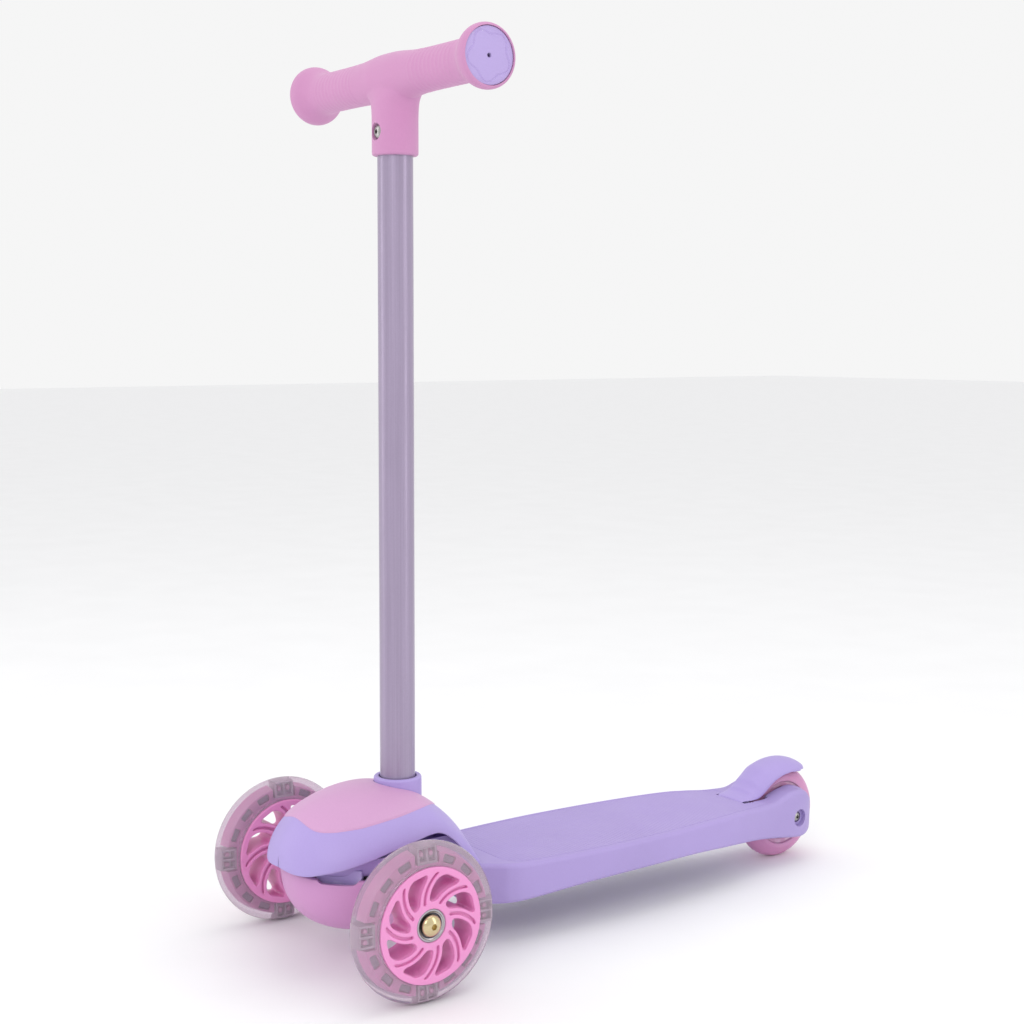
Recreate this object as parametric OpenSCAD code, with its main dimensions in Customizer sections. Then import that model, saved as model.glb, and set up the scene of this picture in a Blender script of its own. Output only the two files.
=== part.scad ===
// Three-wheeled lean-to-steer kick scooter for a small child.
// Millimetres. X is across (rider's left is +X), forward is -Y, +Z is up.
// The origin is on the ground, at the middle of the overall length.

/* [Stance] */
// Distance from the front axle to the rear axle
wheelbase = 464; // [440:1:480]
// Distance from the centre plane to the middle of a front wheel
half_track = 110; // [107:1:114]
// Height of the middle of the handlebar above the ground
bar_height = 688; // [640:1:720]

/* [Wheels] */
// Diameter of a front wheel over its tyre
front_wheel_d = 120; // [116:1:122]
// Width of a front tyre
front_tyre_w = 23.4; // [21:0.1:25]
// Diameter of the rear wheel over its tyre
rear_wheel_d = 86; // [82:1:88]
// Width of the rear tyre
rear_tyre_w = 24; // [22:0.1:26]
// Number of swirl spokes in a front wheel
spokes = 8; // [6:1:9]

/* [Column and handle] */
// Outside diameter of the column tube
tube_d = 28; // [26:0.5:28.5]
// Wall thickness of the column tube
tube_wall = 1.5; // [1:0.1:3]
// Length of the handlebar over its two ends
bar_len = 258; // [240:1:270]
// Diameter of the hand stops at the ends of the bar
stop_d = 48; // [44:1:52]

/* [Deck] */
// Height of the standing surface
deck_top = 65; // [62:1:67]
// Wall thickness of the deck moulding
deck_wall = 3.6; // [3:0.1:4.5]

/* [Steering] */
// Forward lean of the steering axis from the vertical
rake = 25; // [20:1:28]

/* [Hidden] */
$fn = 64;

lilac = [0.72, 0.65, 0.88];
pink = [0.87, 0.64, 0.82];
candy = [0.93, 0.52, 0.76];
frost = [0.80, 0.74, 0.80, 0.6];
steel = [0.75, 0.75, 0.78];
gold = [0.80, 0.73, 0.48];
satin = [0.68, 0.62, 0.74];

// Places along Y
overall_front = 63;                        // cover nose ahead of the front axle
rear_r = rear_wheel_d / 2;
front_y = -(overall_front + wheelbase + rear_r) / 2 + overall_front;
rear_y = front_y + wheelbase;
column_y = front_y + 47;
front_r = front_wheel_d / 2;
tube_r = tube_d / 2;
fit = 0.05;                                // running clearance on a radius

// Front wheel
hub_face_w = 26;                           // over the two faces of the hub
rim_r = 43.3;                              // outside of the visible hub ring
web_r = 52;                                // the rim flange that the tyre is moulded on
web_w = 9;
bearing_r = 11;
bearing_bore = 4;
bearing_w = 7;
module_r = [45.5, 57];                     // a light module, inner and outer radius
module_w = 17.5;
module_t = 11;
window_r = [45.2, 50.6];
window_a = 12;                             // angle that a window spans
bolt_r = bearing_bore - fit;

// Steering axis: goes through steer_p, its top leaning forward
steer_p = [0, front_y + 4, 96];
bowl_y = front_y + 10;
bowl_r = 61;
bowl_top = 78;
bowl_bottom = 28;
bowl_wall = 3.6;
post_z = 41.5;                             // joint between the shell's posts and the frame's
sleeve_r = 13;
boss_gap = 2;
boss_end = -22;                            // lower face of the deck's boss along the axis
sleeve_top = boss_end - boss_gap;
sleeve_end = -60;
kingpin_r = 5;

// Column socket
socket_r = 19;
socket_top = 139;
neck_top = 92;
tube_foot = 76;
tube_top = bar_height - 16;
stem_r = 18.2;
stem_foot = bar_height - 60.5;
bar_core_r = 10.5;
core_wall = 2.2;

// Rear fork and brake
ear_in = 15;
ear_arc = 27;
brake_pivot = [rear_y - 49, 57];           // y, z
brake_half = 19;

function arc(c, r, a0, a1, n) =
  [for (i = [0:n]) let (a = a0 + (a1 - a0) * i / n) [c[0] + r * cos(a), c[1] + r * sin(a)]];
function rev(v) = [for (i = [len(v) - 1:-1:0]) v[i]];
function mirror_x(v) = [for (p = rev(v)) [-p[0], p[1]]];
function move_y(v, d) = [for (p = v) [p[0], p[1] + d]];
function cat_rom(a, b, c, d, t) =
  0.5 * (2 * b + (c - a) * t + (2 * a - 5 * b + 4 * c - d) * t * t
    + (3 * b - a - 3 * c + d) * t * t * t);
function smooth(v, n) = concat(
  [for (i = [0:len(v) - 2], j = [0:n - 1])
    cat_rom(v[max(i - 1, 0)], v[i], v[i + 1], v[min(i + 2, len(v) - 1)], j / n)],
  [v[len(v) - 1]]);
// Triangles of a loft: m rings of w points, each running clockwise seen from its first ring
function loft_faces(m, w) = concat(
  [for (j = [0:m - 2], i = [0:w - 1]) let (k = (i + 1) % w)
    each [[j * w + i, (j + 1) * w + i, (j + 1) * w + k], [j * w + i, (j + 1) * w + k, j * w + k]]],
  [[for (i = [0:w - 1]) i]], [[for (i = [w - 1:-1:0]) (m - 1) * w + i]]);

module across(x0, x1, y, z, r) {
  translate([x0, y, z]) rotate([0, 90, 0]) cylinder(h = x1 - x0, r = r);
}
module at_steer(s) {
  translate(steer_p) rotate([rake, 0, 0]) translate([0, 0, s]) children();
}
module button_head(r, h) {
  // dome head with a hexagon recess, its underside at z = 0
  difference() {
    intersection() {
      cylinder(h = h, r = r);
      translate([0, 0, h - 1.6 * r]) sphere(r = 1.6 * r);
    }
    translate([0, 0, h * 0.45]) cylinder(h = h, r = r * 0.42, $fn = 6);
  }
}

/* ---------- deck ---------- */

// Half-width of the board, measured from the front axle
board_half = [
  [44, 112], [51, 122], [55.5, 138], [58.5, 175], [60, 215], [59.3, 260], [56.6, 305],
  [52, 350], [46, 383], [40.5, 407], [36.8, 430], [35.2, 455], [34, 468], [30, 478],
  [24, 485], [15, 490]];
neck_half = 31;

module board_plan(inset = 0) {
  edge = move_y([for (p = smooth(board_half, 3)) [p[0] - inset, p[1]]], front_y);
  polygon(concat(edge, mirror_x(edge)));
}
module board_side() {
  // y, z outline of the board and the fork ears
  top = [[112, deck_top], [345, deck_top], [385, deck_top - 1], [408, deck_top - 2.5],
    [430, deck_top - 2.5]];
  under = [[462, 25], [430, 29.5], [405, 33], [370, 36.5], [320, 39.5], [260, 39.8],
    [200, 38.5], [150, 35], [112, 32]];
  ear = arc([wheelbase, rear_r + 1], ear_arc, 128, -28, 20);
  polygon([for (p = concat(top, ear, [[484, 29], [476, 25.5]], under)) [p[0] + front_y, p[1]]]);
}
module deck_ribs() {
  for (i = [0:5])
    translate([-60, front_y + 158 + i * 42, 20]) cube([120, 2.6, deck_top - 20 - 3]);
  for (x = [-22, 22])
    translate([x - 1.3, front_y + 116, 20]) cube([2.6, 280, deck_top - 20 - 3]);
}
module deck_hollow() {
  intersection() {
    linear_extrude(deck_top - 4) board_plan(deck_wall);
    translate([-70, front_y + 118, 0]) cube([140, 276, deck_top - 4]);
  }
}
module head_plate() {
  // spherical skirt above the truck, with the kingpin boss
  difference() {
    union() {
      intersection() {
        translate([0, steer_p[1], steer_p[2]]) sphere(r = 52);
        translate([-60, front_y - 60, bowl_top + 0.5]) cube([120, 120, neck_top - bowl_top - 0.5]);
      }
      at_steer(boss_end) cylinder(h = 18, r = 15);
    }
    translate([0, steer_p[1], bowl_top + 5.5]) difference() {
      cylinder(h = 20, r = 44);
      translate([0, 0, -1]) cylinder(h = 22, r = 19);
      translate([-60, 20, -1]) cube([120, 60, 22]);
    }
    at_steer(-70) cylinder(h = 120, r = kingpin_r + fit);
    at_steer(boss_end + 18) cylinder(h = 30, r = 15.5);
    at_steer(boss_end - 40) cylinder(h = 40, r = 19.5);
  }
}
module neck() {
  difference() {
    union() {
      translate([-neck_half, front_y + 58, 48]) cube([2 * neck_half, 56, neck_top - 48]);
      translate([-neck_half, front_y + 30, bowl_top + 0.5])
        cube([2 * neck_half, 40, neck_top - bowl_top - 0.5]);
    }
    translate([-neck_half + 4, front_y + 62, 30]) cube([2 * neck_half - 8, 60, 46]);
    translate([-60, front_y + 84, neck_top]) rotate([-48, 0, 0]) cube([120, 60, 60]);
  }
}
module ear_pocket(s) {
  difference() {
    across(s > 0 ? ear_in - 1 : -31, s > 0 ? 31 : 1 - ear_in, rear_y - 2, rear_r + 1, 21);
    across(-40, 40, rear_y, rear_r, 11.5);
  }
}
module deck_board() color(lilac) difference() {
  union() {
    difference() {
      intersection() {
        linear_extrude(90) board_plan();
        translate([-100, 0, 0]) rotate([90, 0, 90]) linear_extrude(200) board_side();
      }
      difference() {
        deck_hollow();
        deck_ribs();
      }
    }
    neck();
    head_plate();
  }
  // wheel slot between the ears
  translate([-ear_in, brake_pivot[0] - 9.5, 0]) cube([2 * ear_in, 140, 100]);
  // room for the brake fender at the root of the slot
  translate([-brake_half - 2, brake_pivot[0] - 9.5, 49.5]) cube([2 * brake_half + 4, 32.5, 40]);
  // the outer half of each ear is lower than its inner lip
  for (s = [-1, 1]) translate([s * 33 - 6, rear_y - 30, deck_top + 1]) cube([12, 70, 20]);
  // axle hole with a counterbore on each outer face
  across(-60, 60, rear_y, rear_r, bearing_bore + fit);
  across(29, 60, rear_y, rear_r, 7.8);
  across(-60, -29, rear_y, rear_r, 7.8);
  for (s = [-1, 1]) ear_pocket(s);
  // brake pin
  across(-27, 27, brake_pivot[0], brake_pivot[1], 2.5 + fit);
  // socket seat and its screws
  translate([0, column_y, 60]) cylinder(h = 60, r = tube_r + 0.5);
  for (p = socket_screw_places) translate([p[0], p[1], 60]) cylinder(h = 50, r = 1.6);
  for (p = cover_screw_places) translate([p[0], p[1], 60]) {
    cylinder(h = 24, r = 4.3);
    cylinder(h = 50, r = 1.7);
  }
  translate([0, column_y, neck_top]) cylinder(h = 40, r = 27.4);
}

/* ---------- front cover ---------- */

// Stations along the cover: distance from the front axle, crown height, half-width, rim height
cover_stations = [
  [-62.6, 100, 12, 92], [-60, 107, 24, 90], [-54, 116, 36, 89], [-45, 123, 45, 89.5],
  [-32, 128.5, 53, 91], [-15, 132.5, 59, 94], [5, 134.5, 62.5, 98], [25, 134, 63, 102],
  [42, 131.5, 61.5, 104], [55, 126.5, 58.5, 102], [68, 119.5, 54, 96], [82, 109, 48, 84],
  [95, 96, 42, 72], [106, 83, 37, 68], [116, 70, 33, 67.5]];
cover_wall = 2.8;
dome_power = 2.4;

function cover_z(s, x) =
  let (u = min(abs(x) / s[2], 1))
  s[3] + (s[1] - s[3]) * pow(max(1 - pow(u, dome_power), 0), 1 / dome_power);
module dome(stations, grow, start, drop) {
  // solid dome through the stations, its flat base dropped by drop
  n = 24;
  w = n + 3;
  ss = [for (s = stations) if (s[0] >= start) [s[0], s[1] + grow, s[2] + grow, s[3]]];
  m = len(ss);
  pts = [for (s = ss) each concat(
    [for (i = [0:n]) let (x = -s[2] * cos(180 * i / n)) [x, front_y + s[0], cover_z(s, x)]],
    [[s[2], front_y + s[0], s[3] - drop], [-s[2], front_y + s[0], s[3] - drop]])];
  polyhedron(points = pts, faces = loft_faces(m, w), convexity = 4);
}
cover_screw_places = [for (s = [-1, 1]) [s * 22, front_y + 75]];

module front_cover() color(lilac) difference() {
  union() {
    difference() {
      dome(cover_stations, 0, -70, 0.01);
      dome(cover_stations, -cover_wall, -60, 40);
      translate([-90, front_y + 105, 40]) cube([180, 40, 27.5]);
    }
    for (p = cover_screw_places) difference() {
      translate([p[0], p[1], neck_top + 0.2]) cylinder(h = 111.5 - neck_top, r = 4);
      translate([p[0], p[1], neck_top]) cylinder(h = 14, r = 1.6);
    }
  }
  translate([0, column_y, 60]) cylinder(h = 100, r = socket_r + 0.3);
}

// The inset covers the middle of the dome
inset_half = [
  [-57, 20], [-52, 30], [-45, 37.5], [-32, 44.5], [-15, 48.5], [5, 50], [25, 48.5],
  [42, 44], [55, 37], [68, 27], [76, 18]];
inset_top = 1.8;                           // heights of the inset's two faces over the dome
inset_under = 1.1;
module cover_inset() color(pink) difference() {
  m = len(inset_half);
  n = 16;
  w = 2 * (n + 1);
  zs = [for (s = cover_stations) [s[0], s[1]]];
  hs = [for (s = cover_stations) [s[0], s[2]]];
  rs = [for (s = cover_stations) [s[0], s[3]]];
  rows = [for (q = inset_half) let (s = [q[0], lookup(q[0], zs), lookup(q[0], hs),
      lookup(q[0], rs)]) [for (g = [inset_top, inset_under], i = [0:n]) let (k = g == inset_top ? i : n - i,
      x = q[1] * (2 * k / n - 1)) [x, front_y + q[0], cover_z(s, x) + g]]];
  polyhedron(points = [for (r = rows) each r], faces = loft_faces(m, w), convexity = 4);
  translate([0, column_y, 60]) cylinder(h = 100, r = socket_r + 0.3);
}

/* ---------- column ---------- */

socket_screw_places = [for (a = [45:90:315]) [22.6 * cos(a), column_y + 22.6 * sin(a)]];
module column_socket() color(lilac) difference() {
  union() {
    translate([0, column_y, neck_top]) cylinder(h = socket_top - neck_top, r = socket_r);
    translate([0, column_y, neck_top]) cylinder(h = 5, r = 27);
  }
  translate([0, column_y, 60]) cylinder(h = 100, r = tube_r);
  translate([0, column_y, socket_top - 2]) cylinder(h = 5, r1 = tube_r + 0.2, r2 = tube_r + 2);
  for (p = socket_screw_places) translate([p[0], p[1], 80]) cylinder(h = 30, r = 1.7);
  across(-40, 40, column_y, neck_top + 18, 3.05);
}
module column_tube() color(satin) difference() {
  translate([0, column_y, tube_foot]) cylinder(h = tube_top - tube_foot, r = tube_r);
  translate([0, column_y, 0]) cylinder(h = 900, r = tube_r - tube_wall);
  across(-40, 40, column_y, neck_top + 18, 3.05);
  translate([0, column_y, bolt_z]) rotate([90, 0, 0]) cylinder(h = 80, r = 3.05, center = true);
}
module column_bolt() color(steel) {
  across(-socket_r - 1, socket_r + 8, column_y, neck_top + 18, 3);
  translate([-socket_r, column_y, neck_top + 18]) rotate([0, -90, 0]) button_head(5.5, 3.4);
}
module column_nut() color(steel) difference() {
  translate([socket_r + 0.2, column_y, neck_top + 18]) rotate([0, 90, 0])
    cylinder(h = 5, r = 5.8, $fn = 6);
  across(0, 60, column_y, neck_top + 18, 3);
}
module socket_screws() color(steel) for (p = socket_screw_places)
  translate([p[0], p[1], neck_top + 5]) {
    button_head(3.1, 2.2);
    translate([0, 0, -16]) cylinder(h = 17, r = 1.6);
  }
module cover_screws() color(steel) for (p = cover_screw_places)
  translate([p[0], p[1], 84]) {
    rotate([180, 0, 0]) button_head(4, 2.4);
    translate([0, 0, -1]) cylinder(h = 20, r = 1.6);
  }

/* ---------- handle ---------- */

half_bar = bar_len / 2;
bolt_z = bar_height - 42.5;
// Distance from the middle of the bar, and radius of the grip there
grip_profile = [
  [0, 19.2], [12, 18.9], [24, 17.8], [38, 16.6], [55, 16.1], [90, 16], [104, 16.3],
  [111, 17.6], [116, 20.6], [119.5, 23], [123, 23.9], [127, 23.8], [128.6, 22.8]];

module bar_turn(outline) {
  // outline is [distance along the bar, radius]
  translate([0, column_y, bar_height]) rotate([0, 90, 0])
    rotate_extrude() polygon([for (p = outline) [p[1], p[0]]]);
}
module handle_grip() color(pink) {
  right = concat(smooth(grip_profile, 2), [[half_bar, stop_d / 2 - 2.2]]);
  left = [for (i = [len(right) - 1:-1:1]) [-right[i][0], right[i][1]]];
  difference() {
    union() {
      bar_turn(concat(left, right, [[half_bar, 0], [-half_bar, 0]]));
      translate([0, column_y, stem_foot]) cylinder(h = bar_height - stem_foot, r = stem_r);
    }
    across(-half_bar + 8, half_bar - 8, column_y, bar_height, bar_core_r);
    for (s = [-1, 1]) translate([s * half_bar, column_y, bar_height]) rotate([0, 90, 0])
      cylinder(h = 16.2, r = stop_d / 2 - 2.9, center = true);
    translate([0, column_y, stem_foot - 1]) cylinder(h = 62, r = tube_r + core_wall);
    bolt_cuts();
  }
}
module bolt_cuts() {
  translate([0, column_y, bolt_z]) rotate([90, 0, 0]) {
    cylinder(h = 80, r = 3.05, center = true);
    translate([0, 0, 14.3]) cylinder(h = 10, r = 6.4);
    translate([0, 0, -24.3]) cylinder(h = 10, r = 6.4);
  }
}
module handle_core() color(pink) difference() {
  union() {
    across(-half_bar + 8, half_bar - 8, column_y, bar_height, bar_core_r);
    translate([0, column_y, stem_foot + 0.4]) cylinder(h = 60.6, r = tube_r + core_wall);
  }
  across(-half_bar - 1, half_bar + 1, column_y, bar_height, bar_core_r - 2.5);
  translate([0, column_y, 0]) cylinder(h = tube_top, r = tube_r);
  bolt_cuts();
}
module end_cap(s) color(lilac) translate([s * half_bar, column_y, bar_height])
  rotate([0, 90 * s, 0]) difference() {
    union() {
      translate([0, 0, -4.2]) cylinder(h = 3.9, r = stop_d / 2 - 3);
      translate([0, 0, -26]) cylinder(h = 22, r = bar_core_r - 2.6);
    }
    translate([0, 0, -4.2]) cylinder(h = 10, r = 1.7);
    translate([0, 0, -28]) cylinder(h = 23, r = bar_core_r - 5);
  }
module end_cap_left() end_cap(1);
module end_cap_right() end_cap(-1);
module handle_bolt() color(steel) translate([0, column_y - 14.4, bolt_z]) rotate([90, 0, 0]) {
  button_head(6, 3.8);
  translate([0, 0, -30]) cylinder(h = 31, r = 3);
}
module handle_nut() color(steel) translate([0, column_y + 14.4, bolt_z]) rotate([-90, 0, 0])
  difference() {
    button_head(6, 3.2);
    translate([0, 0, -1]) cylinder(h = 3, r = 3);
  }

/* ---------- steering pivot ---------- */

module kingpin() color(steel) at_steer(0) {
  translate([0, 0, sleeve_end - 1.6 - 6]) cylinder(h = 6, r = 8.2, $fn = 6);
  translate([0, 0, sleeve_end - 2]) cylinder(h = 8 - sleeve_end, r = kingpin_r - fit);
}
module kingpin_nut() color(steel) at_steer(-2.4) difference() {
  cylinder(h = 8, r = 8.2, $fn = 6);
  translate([0, 0, -1]) cylinder(h = 20, r = kingpin_r);
}
module kingpin_washers() color(steel) for (s = [-4, sleeve_end - 1.6]) at_steer(s) difference() {
  cylinder(h = 1.6, r = 9.5);
  translate([0, 0, -1]) cylinder(h = 4, r = kingpin_r);
}
module truck_bushes() color("dimgray") {
  // two flanged bushes pressed into the sleeve
  at_steer(sleeve_top - 9) difference() {
    union() {
      cylinder(h = 9, r = 7);
      translate([0, 0, 9]) cylinder(h = boss_gap - 0.3, r = 11);
    }
    translate([0, 0, -1]) cylinder(h = 20, r = kingpin_r);
  }
  at_steer(sleeve_end + 0.3) difference() {
    cylinder(h = 10, r = 7);
    translate([0, 0, -1]) cylinder(h = 20, r = kingpin_r);
  }
}

/* ---------- truck ---------- */

// Distance from the middle of the bowl, and height of its outer skin
bowl_profile = [
  [0, bowl_bottom], [20, bowl_bottom + 0.8], [32, bowl_bottom + 3.2], [42, bowl_bottom + 7.8],
  [50, bowl_bottom + 14.5], [55.5, bowl_bottom + 22.5], [59, bowl_bottom + 31.5],
  [60.7, bowl_bottom + 41], [bowl_r, bowl_top - 1.5], [bowl_r - 1, bowl_top]];
module bowl_solid(inset) {
  curve = [for (p = smooth(bowl_profile, 2)) [max(p[0] - inset, 0), p[1] + inset]];
  top = inset > 0 ? 120 : bowl_top;
  translate([0, bowl_y, 0]) rotate_extrude()
    polygon(concat([for (p = curve) if (p[1] <= top) p], [[bowl_r - 1 - inset, top], [0, top]]));
}
module truck_shell() color(pink) difference() {
  union() {
    difference() {
      bowl_solid(0);
      bowl_solid(bowl_wall);
    }
    for (s = [-1, 1]) across(s > 0 ? 54 : -92, s > 0 ? 92 : -54, front_y, front_r, 13);
    for (p = truck_screw_places) translate([p[0], p[1], post_z - 6.7]) cylinder(h = 6.7, r = 5);
  }
  bowl_rear_gap();
  across(-100, 100, front_y, front_r, 9.2);
  for (p = truck_screw_places) translate([p[0], p[1], 0]) {
    cylinder(h = 60, r = 2.2);
    cylinder(h = bowl_bottom + 4.4, r = 4.8);
  }
  at_steer(-100) cylinder(h = 36, r = 11);
}
module bowl_rear_gap() {
  translate([-46, front_y + 34, 40]) cube([92, 60, 50]);
}
truck_screw_places = [for (s = [-1, 1]) [s * 30, front_y - 6]];
module truck_frame() color("dimgray") difference() {
  union() {
    across(-93, 93, front_y, front_r, 9);
    at_steer(sleeve_end) cylinder(h = sleeve_top - sleeve_end, r = sleeve_r);
    for (p = truck_screw_places) translate([p[0], p[1], post_z + 0.05]) cylinder(h = 12, r = 5);
    translate([-6, front_y, 58]) cube([12, 14, 9]);
  }
  at_steer(sleeve_end - 10) cylinder(h = 60, r = kingpin_r + 0.6);
  at_steer(sleeve_top - 9) cylinder(h = 20, r = 7);
  at_steer(sleeve_end - 1) cylinder(h = 11.3, r = 7);
  for (s = [-1, 1]) across(s > 0 ? 58 : -96, s > 0 ? 96 : -58, front_y, front_r, bolt_r);
  for (p = truck_screw_places) translate([p[0], p[1], 30]) cylinder(h = 18.5, r = 2);
}
module truck_screws() color(steel) for (p = truck_screw_places)
  translate([p[0], p[1], bowl_bottom + 4.4]) rotate([180, 0, 0]) {
    button_head(4.4, 2.6);
    translate([0, 0, -15]) cylinder(h = 16, r = 2);
  }

// Torsion spring round the sleeve
spring_wire = 1.4;
spring_r = 17.2;
spring_turns = 3;
module coil(r, wire, pitch, turns, steps) {
  sides = 6;
  n = turns * steps;
  pts = [for (i = [0:n], j = [0:sides - 1]) let (a = 360 * i / steps, b = -360 * j / sides,
    q = r + wire * cos(b)) [q * cos(a), q * sin(a), pitch * i / steps + wire * sin(b)]];
  polyhedron(points = pts, faces = loft_faces(n + 1, sides), convexity = 8);
}
module return_spring() color(steel) at_steer(sleeve_end + 2.4)
  coil(spring_r, spring_wire, 3.3, spring_turns, 20);

/* ---------- front wheels ---------- */

module on_side(s) {
  // a wheel is drawn at the origin with its axis along +X, its outer face at +X
  translate([s * half_track, front_y, front_r]) rotate([0, 0, s > 0 ? 0 : 180]) children();
}
module ring_x(r0, r1, x0, x1) {
  rotate([0, 90, 0]) translate([0, 0, x0]) difference() {
    cylinder(h = x1 - x0, r = r1);
    translate([0, 0, -1]) cylinder(h = x1 - x0 + 2, r = r0);
  }
}
module sector_x(r0, r1, a, x0, x1) {
  // block between two radii, a degrees wide, centred on +Y
  intersection() {
    ring_x(r0, r1, x0, x1);
    rotate([90, 0, 90]) translate([0, 0, x0]) linear_extrude(x1 - x0)
      polygon([[0, 0], [2 * r1 * cos(a / 2), 2 * r1 * sin(a / 2)],
        [2 * r1 * cos(a / 2), -2 * r1 * sin(a / 2)]]);
  }
}
module rim_web() {
  difference() {
    ring_x(rim_r - 1, web_r, -web_w / 2, web_w / 2);
    for (i = [0:3], j = [-1:1]) rotate([45 + 90 * i + 18 * j, 0, 0])
      sector_x(window_r[0], window_r[1], window_a, -10, 10);
    for (i = [0:3]) rotate([90 * i, 0, 0])
      translate([-8, module_r[0] - 0.2, -module_w / 2 - 0.2]) cube([16, 20, module_w + 0.4]);
  }
}
module module_blocks(grow = 0) {
  for (i = [0:3]) rotate([90 * i, 0, 0])
    translate([-module_t / 2 - grow, module_r[0], -module_w / 2 - grow])
      cube([module_t + 2 * grow, module_r[1] - module_r[0], module_w + 2 * grow]);
}
spoke_w = 11;
function spoke_pt(r, side) = let (t = (r - 12) / (rim_r - 14),
  a = 112 - 34 * t + side * (spoke_w * (1 - 0.12 * t)) / 2 / r * 57.3)
  [r * cos(a), r * sin(a)];
module spoke() {
  rs = [12, 18, 25, 32, 39];
  polygon(concat([for (r = rs) spoke_pt(r, 1)], rev([for (r = rs) spoke_pt(r, -1)])));
}
module wheel_core(s) color(candy) on_side(s) difference() {
  union() {
    ring_x(rim_r - 5.3, rim_r, -hub_face_w / 2, hub_face_w / 2);
    rim_web();
    ring_x(bearing_r, 16.5, -hub_face_w / 2 + 0.8, hub_face_w / 2 - 0.8);
    for (i = [0:spokes - 1]) rotate([360 * i / spokes, 0, 0]) rotate([90, 0, 90])
      translate([0, 0, -hub_face_w / 2 + 2]) linear_extrude(hub_face_w - 4) spoke();
    ring_x(16, 25, -2, 2);
  }
  rotate([0, 90, 0]) cylinder(h = 60, r = bearing_r, center = true);
}
module wheel_core_left() wheel_core(1);
module wheel_core_right() wheel_core(-1);
module tyre(s) color(frost) on_side(s) difference() {
  rotate([0, 90, 0]) rotate_extrude() polygon(concat(
    [[rim_r, -front_tyre_w / 2]],
    arc([front_r - front_tyre_w / 2, 0], front_tyre_w / 2, -90, 90, 16),
    [[rim_r, front_tyre_w / 2]]));
  rim_web();
  module_blocks();
}
module tyre_left() tyre(1);
module tyre_right() tyre(-1);
module led_modules(s) color([0.86, 0.86, 0.88, 0.7]) on_side(s) intersection() {
  module_blocks(-0.05);
  ring_x(0.1, front_r - 2.2, -20, 20);
}
module led_modules_left() led_modules(1);
module led_modules_right() led_modules(-1);
bearing_x = hub_face_w / 2 - 1.4 - bearing_w;   // inner face of a bearing from the wheel's middle
module bearing_pair() {
  for (s = [-1, 1]) mirror([s < 0 ? 1 : 0, 0, 0]) translate([bearing_x, 0, 0])
    ring_x(bearing_bore, bearing_r, 0, bearing_w);
}
module bearings_left() color(steel) on_side(1) bearing_pair();
module bearings_right() color(steel) on_side(-1) bearing_pair();
module light_coil(s) color("chocolate") on_side(s)
  ring_x(7.4, bearing_r - 0.1, -bearing_x + 0.4, bearing_x - 0.4);
module light_coil_left() light_coil(1);
module light_coil_right() light_coil(-1);
module magnet_sleeve(s) color("dimgray") on_side(s)
  ring_x(bearing_bore, 6.4, -bearing_x + 0.05, bearing_x - 0.05);
module magnet_sleeve_left() magnet_sleeve(1);
module magnet_sleeve_right() magnet_sleeve(-1);
module axle_bolt(s) color(gold) on_side(s) rotate([0, 90, 0]) {
  translate([0, 0, bearing_x + bearing_w + 0.1]) button_head(9.2, 5.2);
  translate([0, 0, 66 - half_track]) cylinder(h = half_track - 66 + bearing_x + bearing_w + 1, r = bolt_r);
}
module axle_bolt_left() axle_bolt(1);
module axle_bolt_right() axle_bolt(-1);
module axle_spacers() color(steel) for (s = [-1, 1]) on_side(s)
  ring_x(bolt_r, 6.4, 93.1 - half_track, -bearing_x - bearing_w - 0.1);

/* ---------- rear wheel ---------- */

rear_rim_r = 29;
module at_rear() translate([0, rear_y, rear_r]) children();
module rear_core() color(pink) at_rear() {
  ring_x(rear_rim_r - 4, rear_rim_r, -10, 10);
  ring_x(bearing_r, 15, -11, 11);
  ring_x(14, rear_rim_r - 3, -2, 2);
  for (i = [0:4]) rotate([72 * i, 0, 0]) translate([-9, 14, -1.6]) cube([18, 13, 3.2]);
}
module rear_tyre() color(pink) at_rear() rotate([0, 90, 0]) rotate_extrude()
  polygon(concat([[rear_rim_r, -rear_tyre_w / 2]],
    arc([rear_r - rear_tyre_w / 2, 0], rear_tyre_w / 2, -90, 90, 14),
    [[rear_rim_r, rear_tyre_w / 2]]));
module rear_bearings() color(steel) at_rear() for (s = [-1, 1])
  mirror([s < 0 ? 1 : 0, 0, 0]) ring_x(bearing_bore, bearing_r, 4, 11);
module rear_axle_bolt() color(steel) at_rear() rotate([0, 90, 0]) {
  translate([0, 0, 29.1]) button_head(6.8, 4);
  translate([0, 0, -33]) cylinder(h = 63, r = bolt_r);
}
module rear_axle_nut() color(steel) at_rear() rotate([0, -90, 0])
  translate([0, 0, 29.1]) difference() {
    cylinder(h = 5, r = 7, $fn = 6);
    translate([0, 0, -1]) cylinder(h = 8, r = bolt_r);
  }
module rear_spacers() color(steel) at_rear() {
  ring_x(bearing_bore, 6.2, -3.9, 3.9);
  for (s = [-1, 1]) mirror([s < 0 ? 1 : 0, 0, 0]) ring_x(bearing_bore, 6.2, 11.1, ear_in - 0.1);
}

/* ---------- brake ---------- */

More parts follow.
